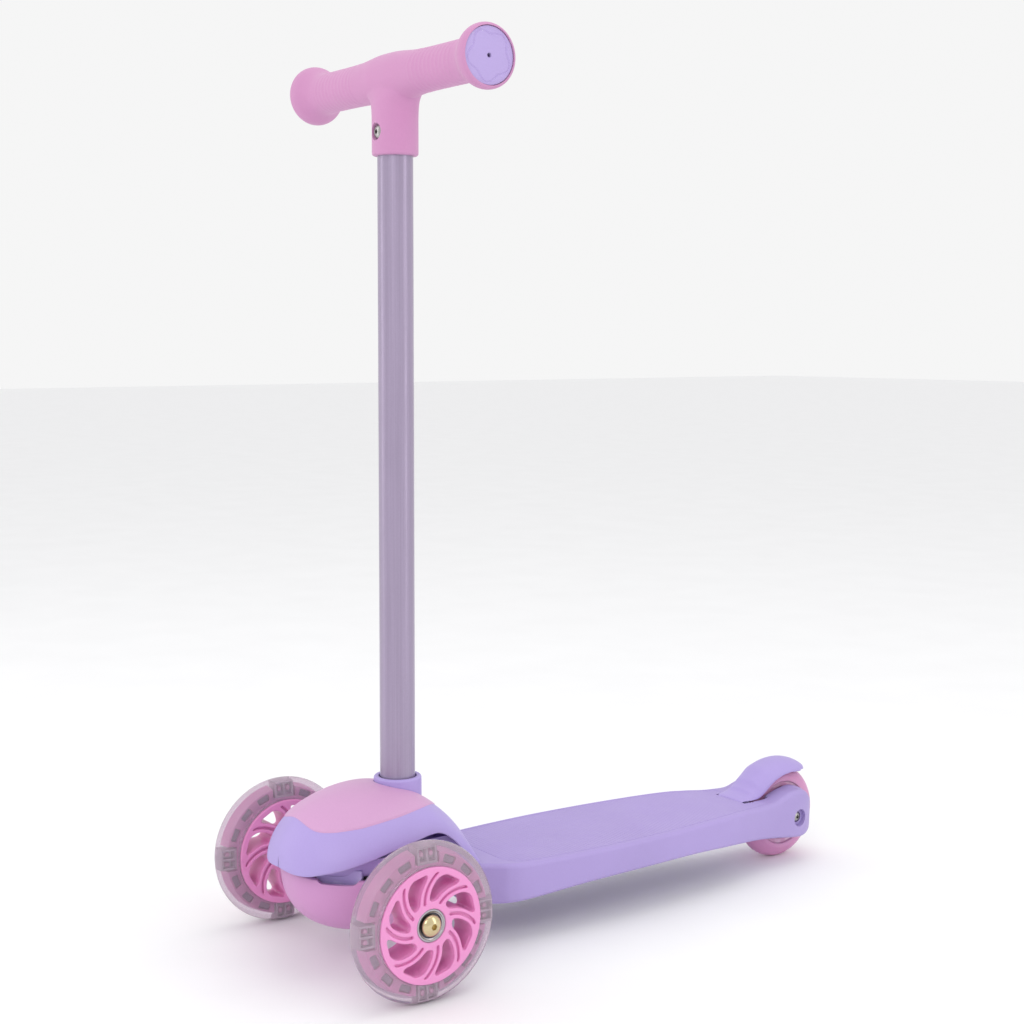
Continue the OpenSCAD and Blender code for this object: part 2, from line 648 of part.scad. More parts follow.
// y, z outline of the fender's outer skin, measured from the rear axle's foot on the ground
fender_out = [
  [-57, 58], [-55, 66], [-48, 72.5], [-41, 78.5], [-35, 83], [-27, 88.5], [-18, 92],
  [-7, 93.6], [5, 93.2], [16, 90.8], [26, 86.8], [33, 81.5], [36.5, 76]];
fender_edge = [[33, 73.5], [24, 77], [12, 80.5], [0, 81], [-12, 78], [-21, 72], [-27, 65],
  [-34, 60.5], [-44, 52], [-53, 51]];
module fender_side() {
  polygon([for (p = concat(smooth(fender_out, 2), fender_edge)) [p[0] + rear_y, p[1]]]);
}
module brake_fender() color(lilac) difference() {
  union() {
    translate([-brake_half, 0, 0]) rotate([90, 0, 90]) linear_extrude(2 * brake_half) fender_side();
    across(-14.5, 14.5, brake_pivot[0], brake_pivot[1], 5.5);
  }
  // room for the wheel, and for it to swing down onto the tread
  translate([0, rear_y, rear_r]) rotate([0, 90, 0])
    cylinder(h = 2 * brake_half - 6, r = rear_r + 3.4, center = true);
  translate([-brake_half - 1, rear_y + 35, 60]) fender_tip_trim();
  across(-40, 40, brake_pivot[0], brake_pivot[1], 2.5 + fit);
  // pocket for the spring round the hub
  translate([0, brake_pivot[0], brake_pivot[1]]) ring_x(5.5, 7.4, -6, 6);
}
module fender_tip_trim() {
  for (s = [0, 1]) translate([s * (2 * brake_half + 2), 0, 0]) rotate([0, 0, 45])
    translate([-7, -7, 0]) cube([14, 14, 60]);
}
module brake_pin() color(steel) across(-26, 26, brake_pivot[0], brake_pivot[1], 2.5);
module brake_spring() color(steel) translate([-4, brake_pivot[0], brake_pivot[1]])
  rotate([0, 90, 0]) coil(6.4, 0.6, 1.6, 5, 16);

deck_board();
front_cover();
cover_inset();
column_socket();
column_tube();
column_bolt();
column_nut();
socket_screws();
cover_screws();
handle_core();
handle_grip();
end_cap_left();
end_cap_right();
handle_bolt();
handle_nut();
kingpin();
kingpin_nut();
kingpin_washers();
truck_shell();
truck_frame();
truck_screws();
truck_bushes();
return_spring();
axle_bolt_left();
axle_bolt_right();
axle_spacers();
magnet_sleeve_left();
magnet_sleeve_right();
wheel_core_left();
wheel_core_right();
tyre_left();
tyre_right();
led_modules_left();
led_modules_right();
light_coil_left();
light_coil_right();
bearings_left();
bearings_right();
rear_core();
rear_tyre();
rear_bearings();
rear_axle_bolt();
rear_axle_nut();
rear_spacers();
brake_fender();
brake_pin();
brake_spring();
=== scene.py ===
"""Looks of a three-wheel kick scooter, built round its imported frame.

Lengths are written in millimetres, in the frame's own axes: +X is the rider's left, -Y is forwards, +Z is up.
"""

import math

import bmesh
import bpy
import numpy as np
from mathutils import Matrix, Vector


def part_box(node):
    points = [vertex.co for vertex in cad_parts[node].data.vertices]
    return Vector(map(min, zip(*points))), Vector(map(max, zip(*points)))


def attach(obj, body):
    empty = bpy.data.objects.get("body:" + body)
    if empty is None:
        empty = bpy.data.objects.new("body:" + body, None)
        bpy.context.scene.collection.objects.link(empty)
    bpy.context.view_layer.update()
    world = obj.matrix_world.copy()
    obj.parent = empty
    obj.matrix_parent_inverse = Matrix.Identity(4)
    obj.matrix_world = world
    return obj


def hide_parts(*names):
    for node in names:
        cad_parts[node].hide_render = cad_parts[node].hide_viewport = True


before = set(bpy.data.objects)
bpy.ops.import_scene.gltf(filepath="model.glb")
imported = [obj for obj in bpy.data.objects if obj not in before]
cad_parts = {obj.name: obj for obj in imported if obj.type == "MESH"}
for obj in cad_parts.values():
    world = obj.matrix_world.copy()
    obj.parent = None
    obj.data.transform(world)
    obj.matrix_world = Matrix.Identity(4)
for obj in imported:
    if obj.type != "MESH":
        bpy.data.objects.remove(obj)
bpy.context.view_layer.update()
MM = 0.001


# ---------- places, taken from the frame ----------

def middle(node):
    """The middle of a node's box, in millimetres."""
    low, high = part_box(node)
    return (low + high) / 2 / MM


def extent(node):
    """The size of a node's box, in millimetres."""
    low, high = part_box(node)
    return (high - low) / MM


TRACK, FRONT_Y, FRONT_R = middle("tyre_left")
REAR_Y, REAR_R = middle("rear_tyre").yz
COLUMN_Y = middle("column_tube").y
TUBE_R = extent("column_tube").x / 2
BAR_Z = middle("end_cap_left").z
HALF_BAR = extent("handle_grip").x / 2
BAR_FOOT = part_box("handle_grip")[0].z / MM
BOLT_Z = middle("handle_bolt").z
TYRE_W = extent("tyre_left").x
HUB_W = extent("wheel_core_left").x
RIM_R = 43.3
DECK_TOP = 65


# ---------- curves through points ----------

def smooth_rows(rows, steps):
    """Rows of numbers with Catmull-Rom rows added between them."""
    rows = np.array(rows, float)
    n = len(rows)
    out = []
    for i in range(n - 1):
        a, b, c, d = rows[max(i - 1, 0)], rows[i], rows[i + 1], rows[min(i + 2, n - 1)]
        for j in range(steps):
            t = j / steps
            out.append(0.5 * (2 * b + (c - a) * t + (2 * a - 5 * b + 4 * c - d) * t ** 2
                              + (3 * b - a - 3 * c + d) * t ** 3))
    out.append(rows[-1])
    return np.array(out)


DENSE = {}


def follow(rows, x, column=1):
    """The value of a column at x, read off the smoothed rows by their first column."""
    key = tuple(rows)
    if key not in DENSE:
        DENSE[key] = smooth_rows(rows, 12)
    return np.interp(x, DENSE[key][:, 0], DENSE[key][:, column])


def arc(cx, cy, r, start, end, steps):
    """Points along an arc, angles in degrees."""
    return [(cx + r * math.cos(math.radians(start + (end - start) * i / steps)),
             cy + r * math.sin(math.radians(start + (end - start) * i / steps))) for i in range(steps + 1)]


def ease(x, low, high):
    """0 below low, 1 above high, smooth between."""
    t = np.clip((np.asarray(x, float) - low) / (high - low), 0, 1)
    return t * t * (3 - 2 * t)


# ---------- mesh tools ----------

def make_object(name, points, faces):
    mesh = bpy.data.meshes.new(name)
    mesh.from_pydata([Vector(p) * MM for p in points], [], faces)
    obj = bpy.data.objects.new(name, mesh)
    bpy.context.scene.collection.objects.link(obj)
    return obj


def tidy_mesh(obj, merge=0.01):
    """Welds the mesh and turns its normals outwards."""
    work = bmesh.new()
    work.from_mesh(obj.data)
    bmesh.ops.remove_doubles(work, verts=work.verts, dist=merge * MM)
    bmesh.ops.dissolve_degenerate(work, edges=work.edges, dist=0.001 * MM)
    bmesh.ops.recalc_face_normals(work, faces=work.faces)
    work.to_mesh(obj.data)
    work.free()
    return obj


def settle(obj):
    """Applies the object's modifiers to its mesh."""
    graph = bpy.context.evaluated_depsgraph_get()
    done = bpy.data.meshes.new_from_object(obj.evaluated_get(graph))
    obj.modifiers.clear()
    obj.data = done
    return obj


def carve(obj, cutters, how="DIFFERENCE", solver="MANIFOLD"):
    """Joins or cuts a mesh with others, which are used up."""
    for cutter in cutters:
        change = obj.modifiers.new("carve", "BOOLEAN")
        change.operation, change.object, change.solver = how, cutter, solver
        settle(obj)
        bpy.data.objects.remove(cutter)
    return obj


def soften(obj, voxel, rounds):
    """Remeshes a solid evenly and relaxes it, so that its parts blend like one moulding."""
    change = obj.modifiers.new("even", "REMESH")
    change.mode, change.voxel_size = "VOXEL", voxel * MM
    change = obj.modifiers.new("relax", "SMOOTH")
    change.factor, change.iterations = 0.5, rounds
    return settle(obj)


def shade(obj, angle):
    """Smooth shading that leaves the large flat faces flat."""
    obj.data.polygons.foreach_set("use_smooth", [True] * len(obj.data.polygons))
    obj.data.set_sharp_from_angle(angle=math.radians(angle))
    change = obj.modifiers.new("flats", "WEIGHTED_NORMAL")
    change.keep_sharp, change.weight = True, 80
    settle(obj)


def grid_faces(rows, columns, ring=False, wrap=False):
    """Quads between rows of points; ring closes each row, wrap closes the last row onto the first."""
    faces = []
    for r in range(rows if wrap else rows - 1):
        for c in range(columns if ring else columns - 1):
            r1, c1 = (r + 1) % rows, (c + 1) % columns
            faces.append((r * columns + c, r * columns + c1, r1 * columns + c1, r1 * columns + c))
    return faces


def turned(name, profile, matrix=Matrix.Identity(4), segments=96, closed=False):
    """A turned solid: profile is [radius, height along the local Z axis]."""
    n = len(profile)
    points = []
    for i in range(segments):
        a = 2 * math.pi * i / segments
        points += [matrix @ Vector((r * math.cos(a), r * math.sin(a), h)) for r, h in profile]
    return tidy_mesh(make_object(name, points, grid_faces(segments, n, ring=closed, wrap=True)))


def rod(name, r, low, high, matrix, segments):
    """A plain cylinder along the local Z axis, for cutting bores."""
    return turned(name, [(0, low), (r, low), (r, high), (0, high)], matrix, segments)


def lofted(name, rings):
    """A skin over closed rings of equal length, capped at both ends."""
    count = len(rings[0])
    faces = grid_faces(len(rings), count, ring=True)
    faces += [tuple(reversed(range(count))), tuple(range((len(rings) - 1) * count, len(rings) * count))]
    return tidy_mesh(make_object(name, [p for ring in rings for p in ring], faces))


def prism(name, outline, low, high, matrix=Matrix.Identity(4)):
    """An outline in the local XY plane, pulled from low to high along Z."""
    return lofted(name, [[matrix @ Vector((x, y, h)) for x, y in outline] for h in (low, high)])


def rectangle(x0, x1, y0, y1):
    return [(x0, y0), (x1, y0), (x1, y1), (x0, y1)]


def plate(name, outlines, low, high, edge, matrix=Matrix.Identity(4), rounds=2):
    """A plate with holes and softly rounded edges: the first outline is the outside, the rest are holes."""
    curve = bpy.data.curves.new(name, "CURVE")
    curve.dimensions, curve.fill_mode = "2D", "BOTH"
    for outline in outlines:
        spline = curve.splines.new("POLY")
        spline.points.add(len(outline) - 1)
        spline.use_cyclic_u = True
        for point, (x, y) in zip(spline.points, outline):
            point.co = (x * MM, y * MM, 0, 1)
    curve.extrude = ((high - low) / 2 - edge) * MM
    curve.bevel_depth, curve.bevel_resolution, curve.offset = edge * MM, rounds, -edge * MM
    flat = bpy.data.objects.new(name, curve)
    bpy.context.scene.collection.objects.link(flat)
    graph = bpy.context.evaluated_depsgraph_get()
    mesh = bpy.data.meshes.new_from_object(flat.evaluated_get(graph))
    bpy.data.objects.remove(flat)
    move = matrix.copy()
    move.translation = matrix.translation * MM
    mesh.transform(move @ Matrix.Translation((0, 0, (low + high) / 2 * MM)))
    obj = bpy.data.objects.new(name, mesh)
    bpy.context.scene.collection.objects.link(obj)
    return tidy_mesh(obj, 0.004)


def merge_as(name, parts):
    """Puts several meshes into one object, side by side."""
    work = bmesh.new()
    for part in parts:
        work.from_mesh(part.data)
    work.to_mesh(parts[0].data)
    work.free()
    for part in parts[1:]:
        bpy.data.objects.remove(part)
    parts[0].name = name
    return parts[0]


def finish_piece(obj, body, material, stands_for=(), angle=38):
    """Gives a piece its material and shading, and says which body and nodes of the frame it belongs to."""
    obj.data.materials.clear()
    obj.data.materials.append(material)
    shade(obj, angle)
    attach(obj, body)
    if stands_for:
        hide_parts(*stands_for)
    return obj


def along_x(x, y, z, side=1):
    """A matrix whose local Z points along +X, or -X for side -1, with its origin at x, y, z."""
    return Matrix.Translation((x, y, z)) @ Matrix.Rotation(math.radians(90 * side), 4, "Y")


UPRIGHT = Matrix.Translation((0, COLUMN_Y, 0))      # local Z runs up the column's axis


# ---------- camera, lights and floor ----------

def make_camera():
    """A camera low at the rider's front left, its sensor shifted a little instead of tilted."""
    turn, dip = math.radians(55.106), math.radians(4.052)
    lens = bpy.data.cameras.new("camera")
    lens.lens, lens.sensor_width = 59.516, 36
    lens.shift_x, lens.shift_y = 0.02284, -0.05213
    lens.clip_start, lens.clip_end = 0.05, 60
    camera = bpy.data.objects.new("camera", lens)
    camera.location = Vector((1133.3, -876.8, 486.0)) * MM
    camera.rotation_euler = (math.pi / 2 - dip, 0, turn)
    bpy.context.scene.collection.objects.link(camera)
    bpy.context.scene.camera = camera


def soft_box(name, place, target, width, height, power):
    lamp = bpy.data.lights.new(name, "AREA")
    lamp.shape, lamp.size, lamp.size_y, lamp.energy = "RECTANGLE", width, height, power
    obj = bpy.data.objects.new(name, lamp)
    obj.location = place
    obj.rotation_euler = (Vector(target) - Vector(place)).to_track_quat("-Z", "Y").to_euler()
    bpy.context.scene.collection.objects.link(obj)


def make_studio():
    world = bpy.data.worlds.new("studio")
    bpy.context.scene.world = world
    world.use_nodes = True
    sky = world.node_tree.nodes["Background"]
    sky.inputs["Color"].default_value = (1, 1, 1, 1)
    sky.inputs["Strength"].default_value = 0.92
    soft_box("key_box", (1.5, -2.0, 1.6), (0, 0, 0.3), 1.3, 1.3, 13)
    soft_box("left_box", (-1.1, -1.5, 0.7), (0, 0, 0.35), 0.6, 1.8, 4.5)
    soft_box("right_box", (1.6, 0.9, 0.8), (0, 0, 0.3), 0.5, 1.8, 5)
    soft_box("top_box", (0.1, 0.2, 2.4), (0, 0, 0), 1.6, 1.6, 7)
    bpy.ops.mesh.primitive_plane_add(size=30)
    floor = bpy.context.object
    floor.name = "studio_floor"
    floor.data.materials.append(M["paper"])
    bpy.context.scene.view_settings.view_transform = "Standard"
    bpy.context.scene.view_settings.look = "None"


# ---------- shader groups ----------

def shade_tree(name):
    """A new material, its node tree and its Principled shader."""
    material = bpy.data.materials.new(name)
    material.use_nodes = True
    tree = material.node_tree
    return material, tree, tree.nodes["Principled BSDF"]


def add(tree, kind, **settings):
    node = tree.nodes.new(kind)
    for key, value in settings.items():
        setattr(node, key, value)
    return node


def feed(tree, socket, value):
    """Sets a socket to a plain value, or links another socket into it."""
    if isinstance(value, (int, float, tuple)):
        socket.default_value = value
    else:
        tree.links.new(value, socket)


def lay_out(tree):
    """Sets a tree's nodes in columns, each to the left of the nodes it feeds."""
    column, filled = {}, {}
    for _ in tree.nodes:
        for link in tree.links:
            column[link.from_node.name] = max(column.get(link.from_node.name, 0),
                                              column.get(link.to_node.name, 0) + 1)
    for node in tree.nodes:
        c = column.get(node.name, 0)
        node.location = (-250 * c, -300 * filled.get(c, 0))
        filled[c] = filled.get(c, 0) + 1


def start_group(name, inputs, outputs):
    """A node group with named sockets; inputs are (name, kind, default)."""
    group = bpy.data.node_groups.new(name, "ShaderNodeTree")
    for label, kind, default in inputs:
        socket = group.interface.new_socket(name=label, in_out="INPUT", socket_type="NodeSocket" + kind)
        socket.default_value = default
    for label, kind in outputs:
        group.interface.new_socket(name=label, in_out="OUTPUT", socket_type="NodeSocket" + kind)
    return group, add(group, "NodeGroupInput").outputs, add(group, "NodeGroupOutput").inputs


def object_place(tree):
    return add(tree, "ShaderNodeTexCoord").outputs["Object"]


def scaled_place(tree, scale):
    """Object coordinates multiplied by a socket's value."""
    node = add(tree, "ShaderNodeVectorMath", operation="SCALE")
    tree.links.new(object_place(tree), node.inputs[0])
    tree.links.new(scale, node.inputs["Scale"])
    return node.outputs[0]


def noise(tree, scale, detail, rough, vector):
    node = add(tree, "ShaderNodeTexNoise")
    for label, value in (("Scale", scale), ("Detail", detail), ("Roughness", rough)):
        node.inputs[label].default_value = value
    tree.links.new(vector, node.inputs["Vector"])
    return node.outputs["Fac"]


def spread(tree, value, low, high, to_low, to_high):
    """Maps a value from one range to another."""
    node = add(tree, "ShaderNodeMapRange")
    tree.links.new(value, node.inputs["Value"])
    for label, number in (("From Min", low), ("From Max", high), ("To Min", to_low), ("To Max", to_high)):
        node.inputs[label].default_value = number
    return node.outputs["Result"]


def maths(tree, how, a, b):
    node = add(tree, "ShaderNodeMath", operation=how)
    for socket, value in zip(node.inputs, (a, b)):
        feed(tree, socket, value)
    return node.outputs[0]


def swing(tree, value, low, high, amount):
    """A value spread round nought, as large as the amount either way."""
    return maths(tree, "MULTIPLY", spread(tree, value, low, high, -1, 1), amount)


def blend_colours(tree, how, factor, a, b):
    node = add(tree, "ShaderNodeMix", data_type="RGBA", blend_type=how)
    for label, value in (("Factor", factor), ("A", a), ("B", b)):
        feed(tree, [s for s in node.inputs if s.name == label and s.enabled][0], value)
    return [s for s in node.outputs if s.enabled][0]


def make_moulded_colour():
    """Plastic colour: slow drift from the flow of the melt, and fine specks of pigment."""
    group, source, sink = start_group(
        "moulded_colour",
        [("Color", "Color", (1, 1, 1, 1)), ("Drift", "Float", 0.04), ("Specks", "Float", 0.02)],
        [("Color", "Color")])
    place = object_place(group)
    slow = swing(group, noise(group, 9, 3, 0.5, place), 0.3, 0.7, source["Drift"])
    fine = swing(group, noise(group, 900, 1, 0.5, place), 0.3, 0.7, source["Specks"])
    tune = add(group, "ShaderNodeHueSaturation")
    group.links.new(source["Color"], tune.inputs["Color"])
    group.links.new(maths(group, "ADD", maths(group, "ADD", slow, fine), 1.0), tune.inputs["Value"])
    group.links.new(tune.outputs["Color"], sink["Color"])
    return group


def make_spark_grain():
    """Height of a spark-eroded mould texture."""
    group, source, sink = start_group("spark_grain", [("Scale", "Float", 1.0)], [("Height", "Float")])
    place = scaled_place(group, source["Scale"])
    coarse = noise(group, 1500, 2, 0.6, place)
    fine = maths(group, "MULTIPLY", noise(group, 4200, 1, 0.5, place), 0.4)
    group.links.new(maths(group, "ADD", coarse, fine), sink["Height"])
    return group


def make_handled_gloss():
    """Roughness that varies with smudges from handling."""
    group, source, sink = start_group(
        "handled_gloss", [("Roughness", "Float", 0.4), ("Smudges", "Float", 0.1)], [("Roughness", "Float")])
    patches = swing(group, noise(group, 26, 4, 0.6, object_place(group)), 0.35, 0.65, source["Smudges"])
    group.links.new(maths(group, "ADD", patches, source["Roughness"]), sink["Roughness"])
    return group


def make_edge_wear():
    """Lightens the colour along sharp edges, broken up so that it looks rubbed."""
    group, source, sink = start_group(
        "edge_wear", [("Color", "Color", (1, 1, 1, 1)), ("Wear", "Float", 0.3)],
        [("Color", "Color"), ("Mask", "Float")])
    shape = add(group, "ShaderNodeNewGeometry")
    edge = spread(group, shape.outputs["Pointiness"], 0.53, 0.62, 0, 1)
    broken = spread(group, noise(group, 120, 3, 0.6, object_place(group)), 0.4, 0.6, 0.2, 1)
    mask = maths(group, "MULTIPLY", maths(group, "MULTIPLY", edge, broken), source["Wear"])
    group.links.new(blend_colours(group, "SCREEN", mask, source["Color"], (1, 1, 1, 1)), sink["Color"])
    group.links.new(mask, sink["Mask"])
    return group


def make_turning_marks():
    """Height of the fine scratches left on metal by machining; they have no direction."""
    group, source, sink = start_group("turning_marks", [("Fineness", "Float", 1.0)], [("Height", "Float")])
    group.links.new(noise(group, 2600, 2, 0.6, scaled_place(group, source["Fineness"])), sink["Height"])
    return group


GROUPS = {"colour": make_moulded_colour(), "grain": make_spark_grain(), "gloss": make_handled_gloss(),
          "wear": make_edge_wear(), "turning": make_turning_marks()}


def place_group(tree, key, **values):
    node = add(tree, "ShaderNodeGroup", node_tree=GROUPS[key])
    for label, value in values.items():
        node.inputs[label].default_value = value
    return node


# ---------- materials ----------

EDGE_WEAR = 0.25


def paint(r, g, b):
    """A colour on the usual 0 to 255 screen scale, as a linear RGBA value."""
    def linear(v):
        v /= 255
        return v / 12.92 if v <= 0.04045 else ((v + 0.055) / 1.055) ** 2.4
    return (linear(r), linear(g), linear(b), 1)


def wire_skin(tree, skin, tone, gloss, relief, strength, distance):
    """Links a colour, the handled gloss and a relief into the material's own Principled shader."""
    tree.links.new(tone.outputs["Color"], skin.inputs["Base Color"])
    roughness, smudges = gloss
    shine = place_group(tree, "gloss", Roughness=roughness, Smudges=smudges)
    tree.links.new(shine.outputs["Roughness"], skin.inputs["Roughness"])
    bump = add(tree, "ShaderNodeBump")
    bump.inputs["Strength"].default_value = strength
    bump.inputs["Distance"].default_value = distance
    tree.links.new(relief.outputs["Height"], bump.inputs["Height"])
    tree.links.new(bump.outputs["Normal"], skin.inputs["Normal"])


def moulding(name, colour, roughness, drift=0.035, specks=0.015, grain=0.25, grain_size=1.0, smudges=0.06,
             subsurface=0.0, sheen=0.0):
    """A moulded plastic or rubber skin."""
    material, tree, skin = shade_tree(name)
    tone = place_group(tree, "colour", Color=colour, Drift=drift, Specks=specks)
    edges = place_group(tree, "wear", Wear=EDGE_WEAR)
    tree.links.new(tone.outputs["Color"], edges.inputs["Color"])
    relief = place_group(tree, "grain", Scale=grain_size)
    wire_skin(tree, skin, edges, (roughness, smudges), relief, grain, 0.00008)
    skin.inputs["IOR"].default_value = 1.47
    if subsurface:
        skin.inputs["Subsurface Weight"].default_value = subsurface
        skin.inputs["Subsurface Radius"].default_value = (0.004, 0.002, 0.003)
        skin.inputs["Subsurface Scale"].default_value = 1.0
    if sheen:
        skin.inputs["Sheen Weight"].default_value = sheen
        skin.inputs["Sheen Roughness"].default_value = 0.5
    return material


def bare_metal(name, colour, roughness, marks=0.3, fineness=1.0):
    """A plated or ground metal."""
    material, tree, skin = shade_tree(name)
    tone = place_group(tree, "colour", Color=colour, Drift=0.12, Specks=0.05)
    relief = place_group(tree, "turning", Fineness=fineness)
    wire_skin(tree, skin, tone, (roughness, 0.08), relief, marks, 0.00004)
    skin.inputs["Metallic"].default_value = 1
    return material


def clear_cast(name, colour, roughness, clear, ior, grain=0.1):
    """Clear cast urethane: glass-like, faintly smoky, with slight waviness from the mould."""
    material, tree, skin = shade_tree(name)
    tone = place_group(tree, "colour", Color=colour, Drift=0.05, Specks=0.02)
    waves = place_group(tree, "grain", Scale=0.12)
    wire_skin(tree, skin, tone, (roughness, 0.04), waves, grain, 0.0002)
    skin.inputs["Transmission Weight"].default_value = clear
    skin.inputs["IOR"].default_value = ior
    return material


def painted_sheen_streaks(tree, value):
    """Painted sheen streaks: a grey from light to white, multiplied into the tube's colour."""
    ramp = add(tree, "ShaderNodeValToRGB")
    first, last = ramp.color_ramp.elements
    first.position, last.position = 0.35, 0.65
    first.color, last.color = (0.72, 0.72, 0.72, 1), (1, 1, 1, 1)
    tree.links.new(value, ramp.inputs["Fac"])
    return ramp.outputs["Color"]


def satin_paint(name, colour):
    """Powder paint on the tube, with a thin clear coat and faint painted sheen streaks along it: pale and
    darker bands in the colour that stand in for the streaky highlight.
    """
    material, tree, skin = shade_tree(name)
    stretch = add(tree, "ShaderNodeMapping")
    stretch.inputs["Scale"].default_value = (1, 1, 0.01)
    tree.links.new(object_place(tree), stretch.inputs["Vector"])
    # painted sheen: light and dark streaks running along the tube, put into its colour
    sheen_streaks = painted_sheen_streaks(tree, noise(tree, 700, 3, 0.6, stretch.outputs["Vector"]))
    tone = place_group(tree, "colour", Drift=0.03, Specks=0.02)
    tree.links.new(blend_colours(tree, "MULTIPLY", 0.35, colour, sheen_streaks), tone.inputs["Color"])
    wire_skin(tree, skin, tone, (0.34, 0.05), place_group(tree, "grain", Scale=0.5), 0.15, 0.00006)
    skin.inputs["Metallic"].default_value = 0.35
    skin.inputs["Coat Weight"].default_value = 0.25
    skin.inputs["Coat Roughness"].default_value = 0.2
    return material


def floor_paper():
    """Pale studio paper with a barely visible tooth."""
    material, tree, skin = shade_tree("studio_paper")
    tone = place_group(tree, "colour", Color=(0.92, 0.92, 0.93, 1), Drift=0.01, Specks=0.01)
    tree.links.new(tone.outputs["Color"], skin.inputs["Base Color"])
    skin.inputs["Roughness"].default_value = 0.85
    return material


M = {
    "lilac": moulding("lilac_plastic", paint(171, 153, 212), 0.46),
    "lilac_cap": moulding("lilac_cap", paint(176, 157, 211), 0.42),
    "pink": moulding("pink_plastic", paint(203, 155, 196), 0.47),
    "bowl": moulding("bowl_plastic", paint(198, 142, 191), 0.44),
    "grip": moulding("pink_grip", paint(198, 138, 182), 0.62, grain=0.5, grain_size=0.7, smudges=0.08,
                     sheen=0.15),
    "core": moulding("core_plastic", paint(204, 160, 196), 0.6),
    "candy": moulding("candy_plastic", paint(227, 146, 198), 0.34, grain=0.12, subsurface=0.15),
    "rear_tyre": moulding("rear_urethane", paint(205, 142, 186), 0.4, drift=0.06, grain=0.15, subsurface=0.3),
    "nylon": moulding("dark_nylon", paint(62, 60, 68), 0.5, specks=0.08, grain=0.6),
    "magnet": bare_metal("sintered_magnet", paint(92, 92, 96), 0.5, marks=0.5),
    "copper": bare_metal("copper_winding", paint(190, 110, 70), 0.35, marks=0.6, fineness=0.6),
    "zinc": bare_metal("bright_zinc", paint(166, 163, 162), 0.26),
    "gold": bare_metal("yellow_zinc", paint(206, 190, 150), 0.26, marks=0.4),
    "spring": bare_metal("spring_steel", paint(150, 150, 154), 0.35),
    "bearing": bare_metal("bearing_steel", paint(172, 168, 174), 0.3, marks=0.2),
    "shield": bare_metal("bearing_shield", paint(78, 74, 82), 0.4, marks=0.2),
    "tube": satin_paint("satin_tube", paint(160, 146, 172)),
    "clear": clear_cast("clear_urethane", paint(222, 206, 220), 0.16, 0.76, ior=1.24),
    "housing": clear_cast("module_housing", paint(234, 222, 232), 0.22, 0.35, grain=0.2, ior=1.3),
    "board": moulding("circuit_board", paint(214, 200, 212), 0.4, specks=0.05),
    "diode": moulding("diode_lens", paint(232, 170, 205), 0.25, subsurface=0.2),
    "window": moulding("window_panes", paint(152, 134, 152), 0.3, drift=0.1),
    "web": moulding("web_plastic", paint(228, 160, 204), 0.4, grain=0.1, subsurface=0.2),
    "lilac_deck": moulding("lilac_deck_plastic", paint(168, 150, 206), 0.5, grain=0.35),
    "paper": floor_paper(),
}
for shader_tree in [*GROUPS.values(), *(material.node_tree for material in M.values())]:
    lay_out(shader_tree)


# ---------- front wheels ----------

SPOKES = 8
HUB_EYE_R = 12.4            # counterbore that shows the bearing
BEARING_R = 11
WEB_IN_R, WEB_R = 45.6, 52.5        # the pink flange in the tyre: foot of its gaps, and its outside


def swirl(r):
    """Angle of a spoke's middle line at a radius, in degrees; it sweeps on faster towards the rim."""
    t = max((r - 17) / 21.5, 0)
    return 18.7 - 26.3 * t ** 1.2


def swirled_slot(r0, r1, half_width, shift, corners, steps=20):
    """Outline of a slot that follows the swirl; half-width and corner radius are given as (at r0, at r1)."""
    left, right = [], []
    for i in range(steps + 1):
        u = 0.5 - 0.5 * math.cos(math.pi * i / steps)
        r = r0 + (r1 - r0) * u
        w = half_width[0] + (half_width[1] - half_width[0]) * u
        for corner, d in ((corners[0], r - r0), (corners[1], r1 - r)):
            if d < corner:
                w -= corner - math.sqrt(max(corner ** 2 - (corner - d) ** 2, 0))
        a = math.radians(swirl(r) + shift)
        turn = max(w, 0.02) / r
        left.append((r * math.cos(a + turn), r * math.sin(a + turn)))
        right.append((r * math.cos(a - turn), r * math.sin(a - turn)))
    return left + right[::-1]


def ring_points(r, steps=128):
    return arc(0, 0, r, 0, 360 - 360 / steps, steps - 1)


# turns local X, Y, Z into Y, Z, X of the frame
STAND = Matrix(((0, 0, 1), (1, 0, 0), (0, 1, 0))).to_4x4()


def wheel_plane(side):
    """Local XY is the wheel's plane, seen from its outer face; local Z points outwards."""
    return Matrix.Translation((side * TRACK, FRONT_Y, FRONT_R)) @ \
        Matrix.Rotation(0 if side > 0 else math.pi, 4, "Z") @ STAND


def hub(side, tag):
    """Candy pink hub: swirled spokes, each with a groove in both faces, and deep pockets between them."""
    plane = wheel_plane(side)
    half = HUB_W / 2 - 0.6
    groove_depth = 2.6
    shifts = [360 / SPOKES * k for k in range(SPOKES)]
    pockets = [swirled_slot(18.0, 38.4, (2.9, 10.3), a + 180 / SPOKES, (2.6, 5.6)) for a in shifts]
    tight = [swirled_slot(18.3, 38.1, (2.6, 10.0), a + 180 / SPOKES, (2.3, 5.3)) for a in shifts]
    grooves = [swirled_slot(16.6, 39.2, (1.15, 1.5), a, (1.1, 1.4)) for a in shifts]
    body = plate("hub_" + tag, [ring_points(RIM_R - 0.15), ring_points(BEARING_R)] + tight,
                 groove_depth - half, half - groove_depth, 0.3, plane, 1)
    faces = []
    for low, high in ((half - groove_depth - 1, half), (-half, groove_depth + 1 - half)):
        faces.append(plate("face", [ring_points(RIM_R), ring_points(HUB_EYE_R)] + pockets + grooves,
                           low, high, 0.9, plane, 3))
    return carve(body, faces, "UNION")


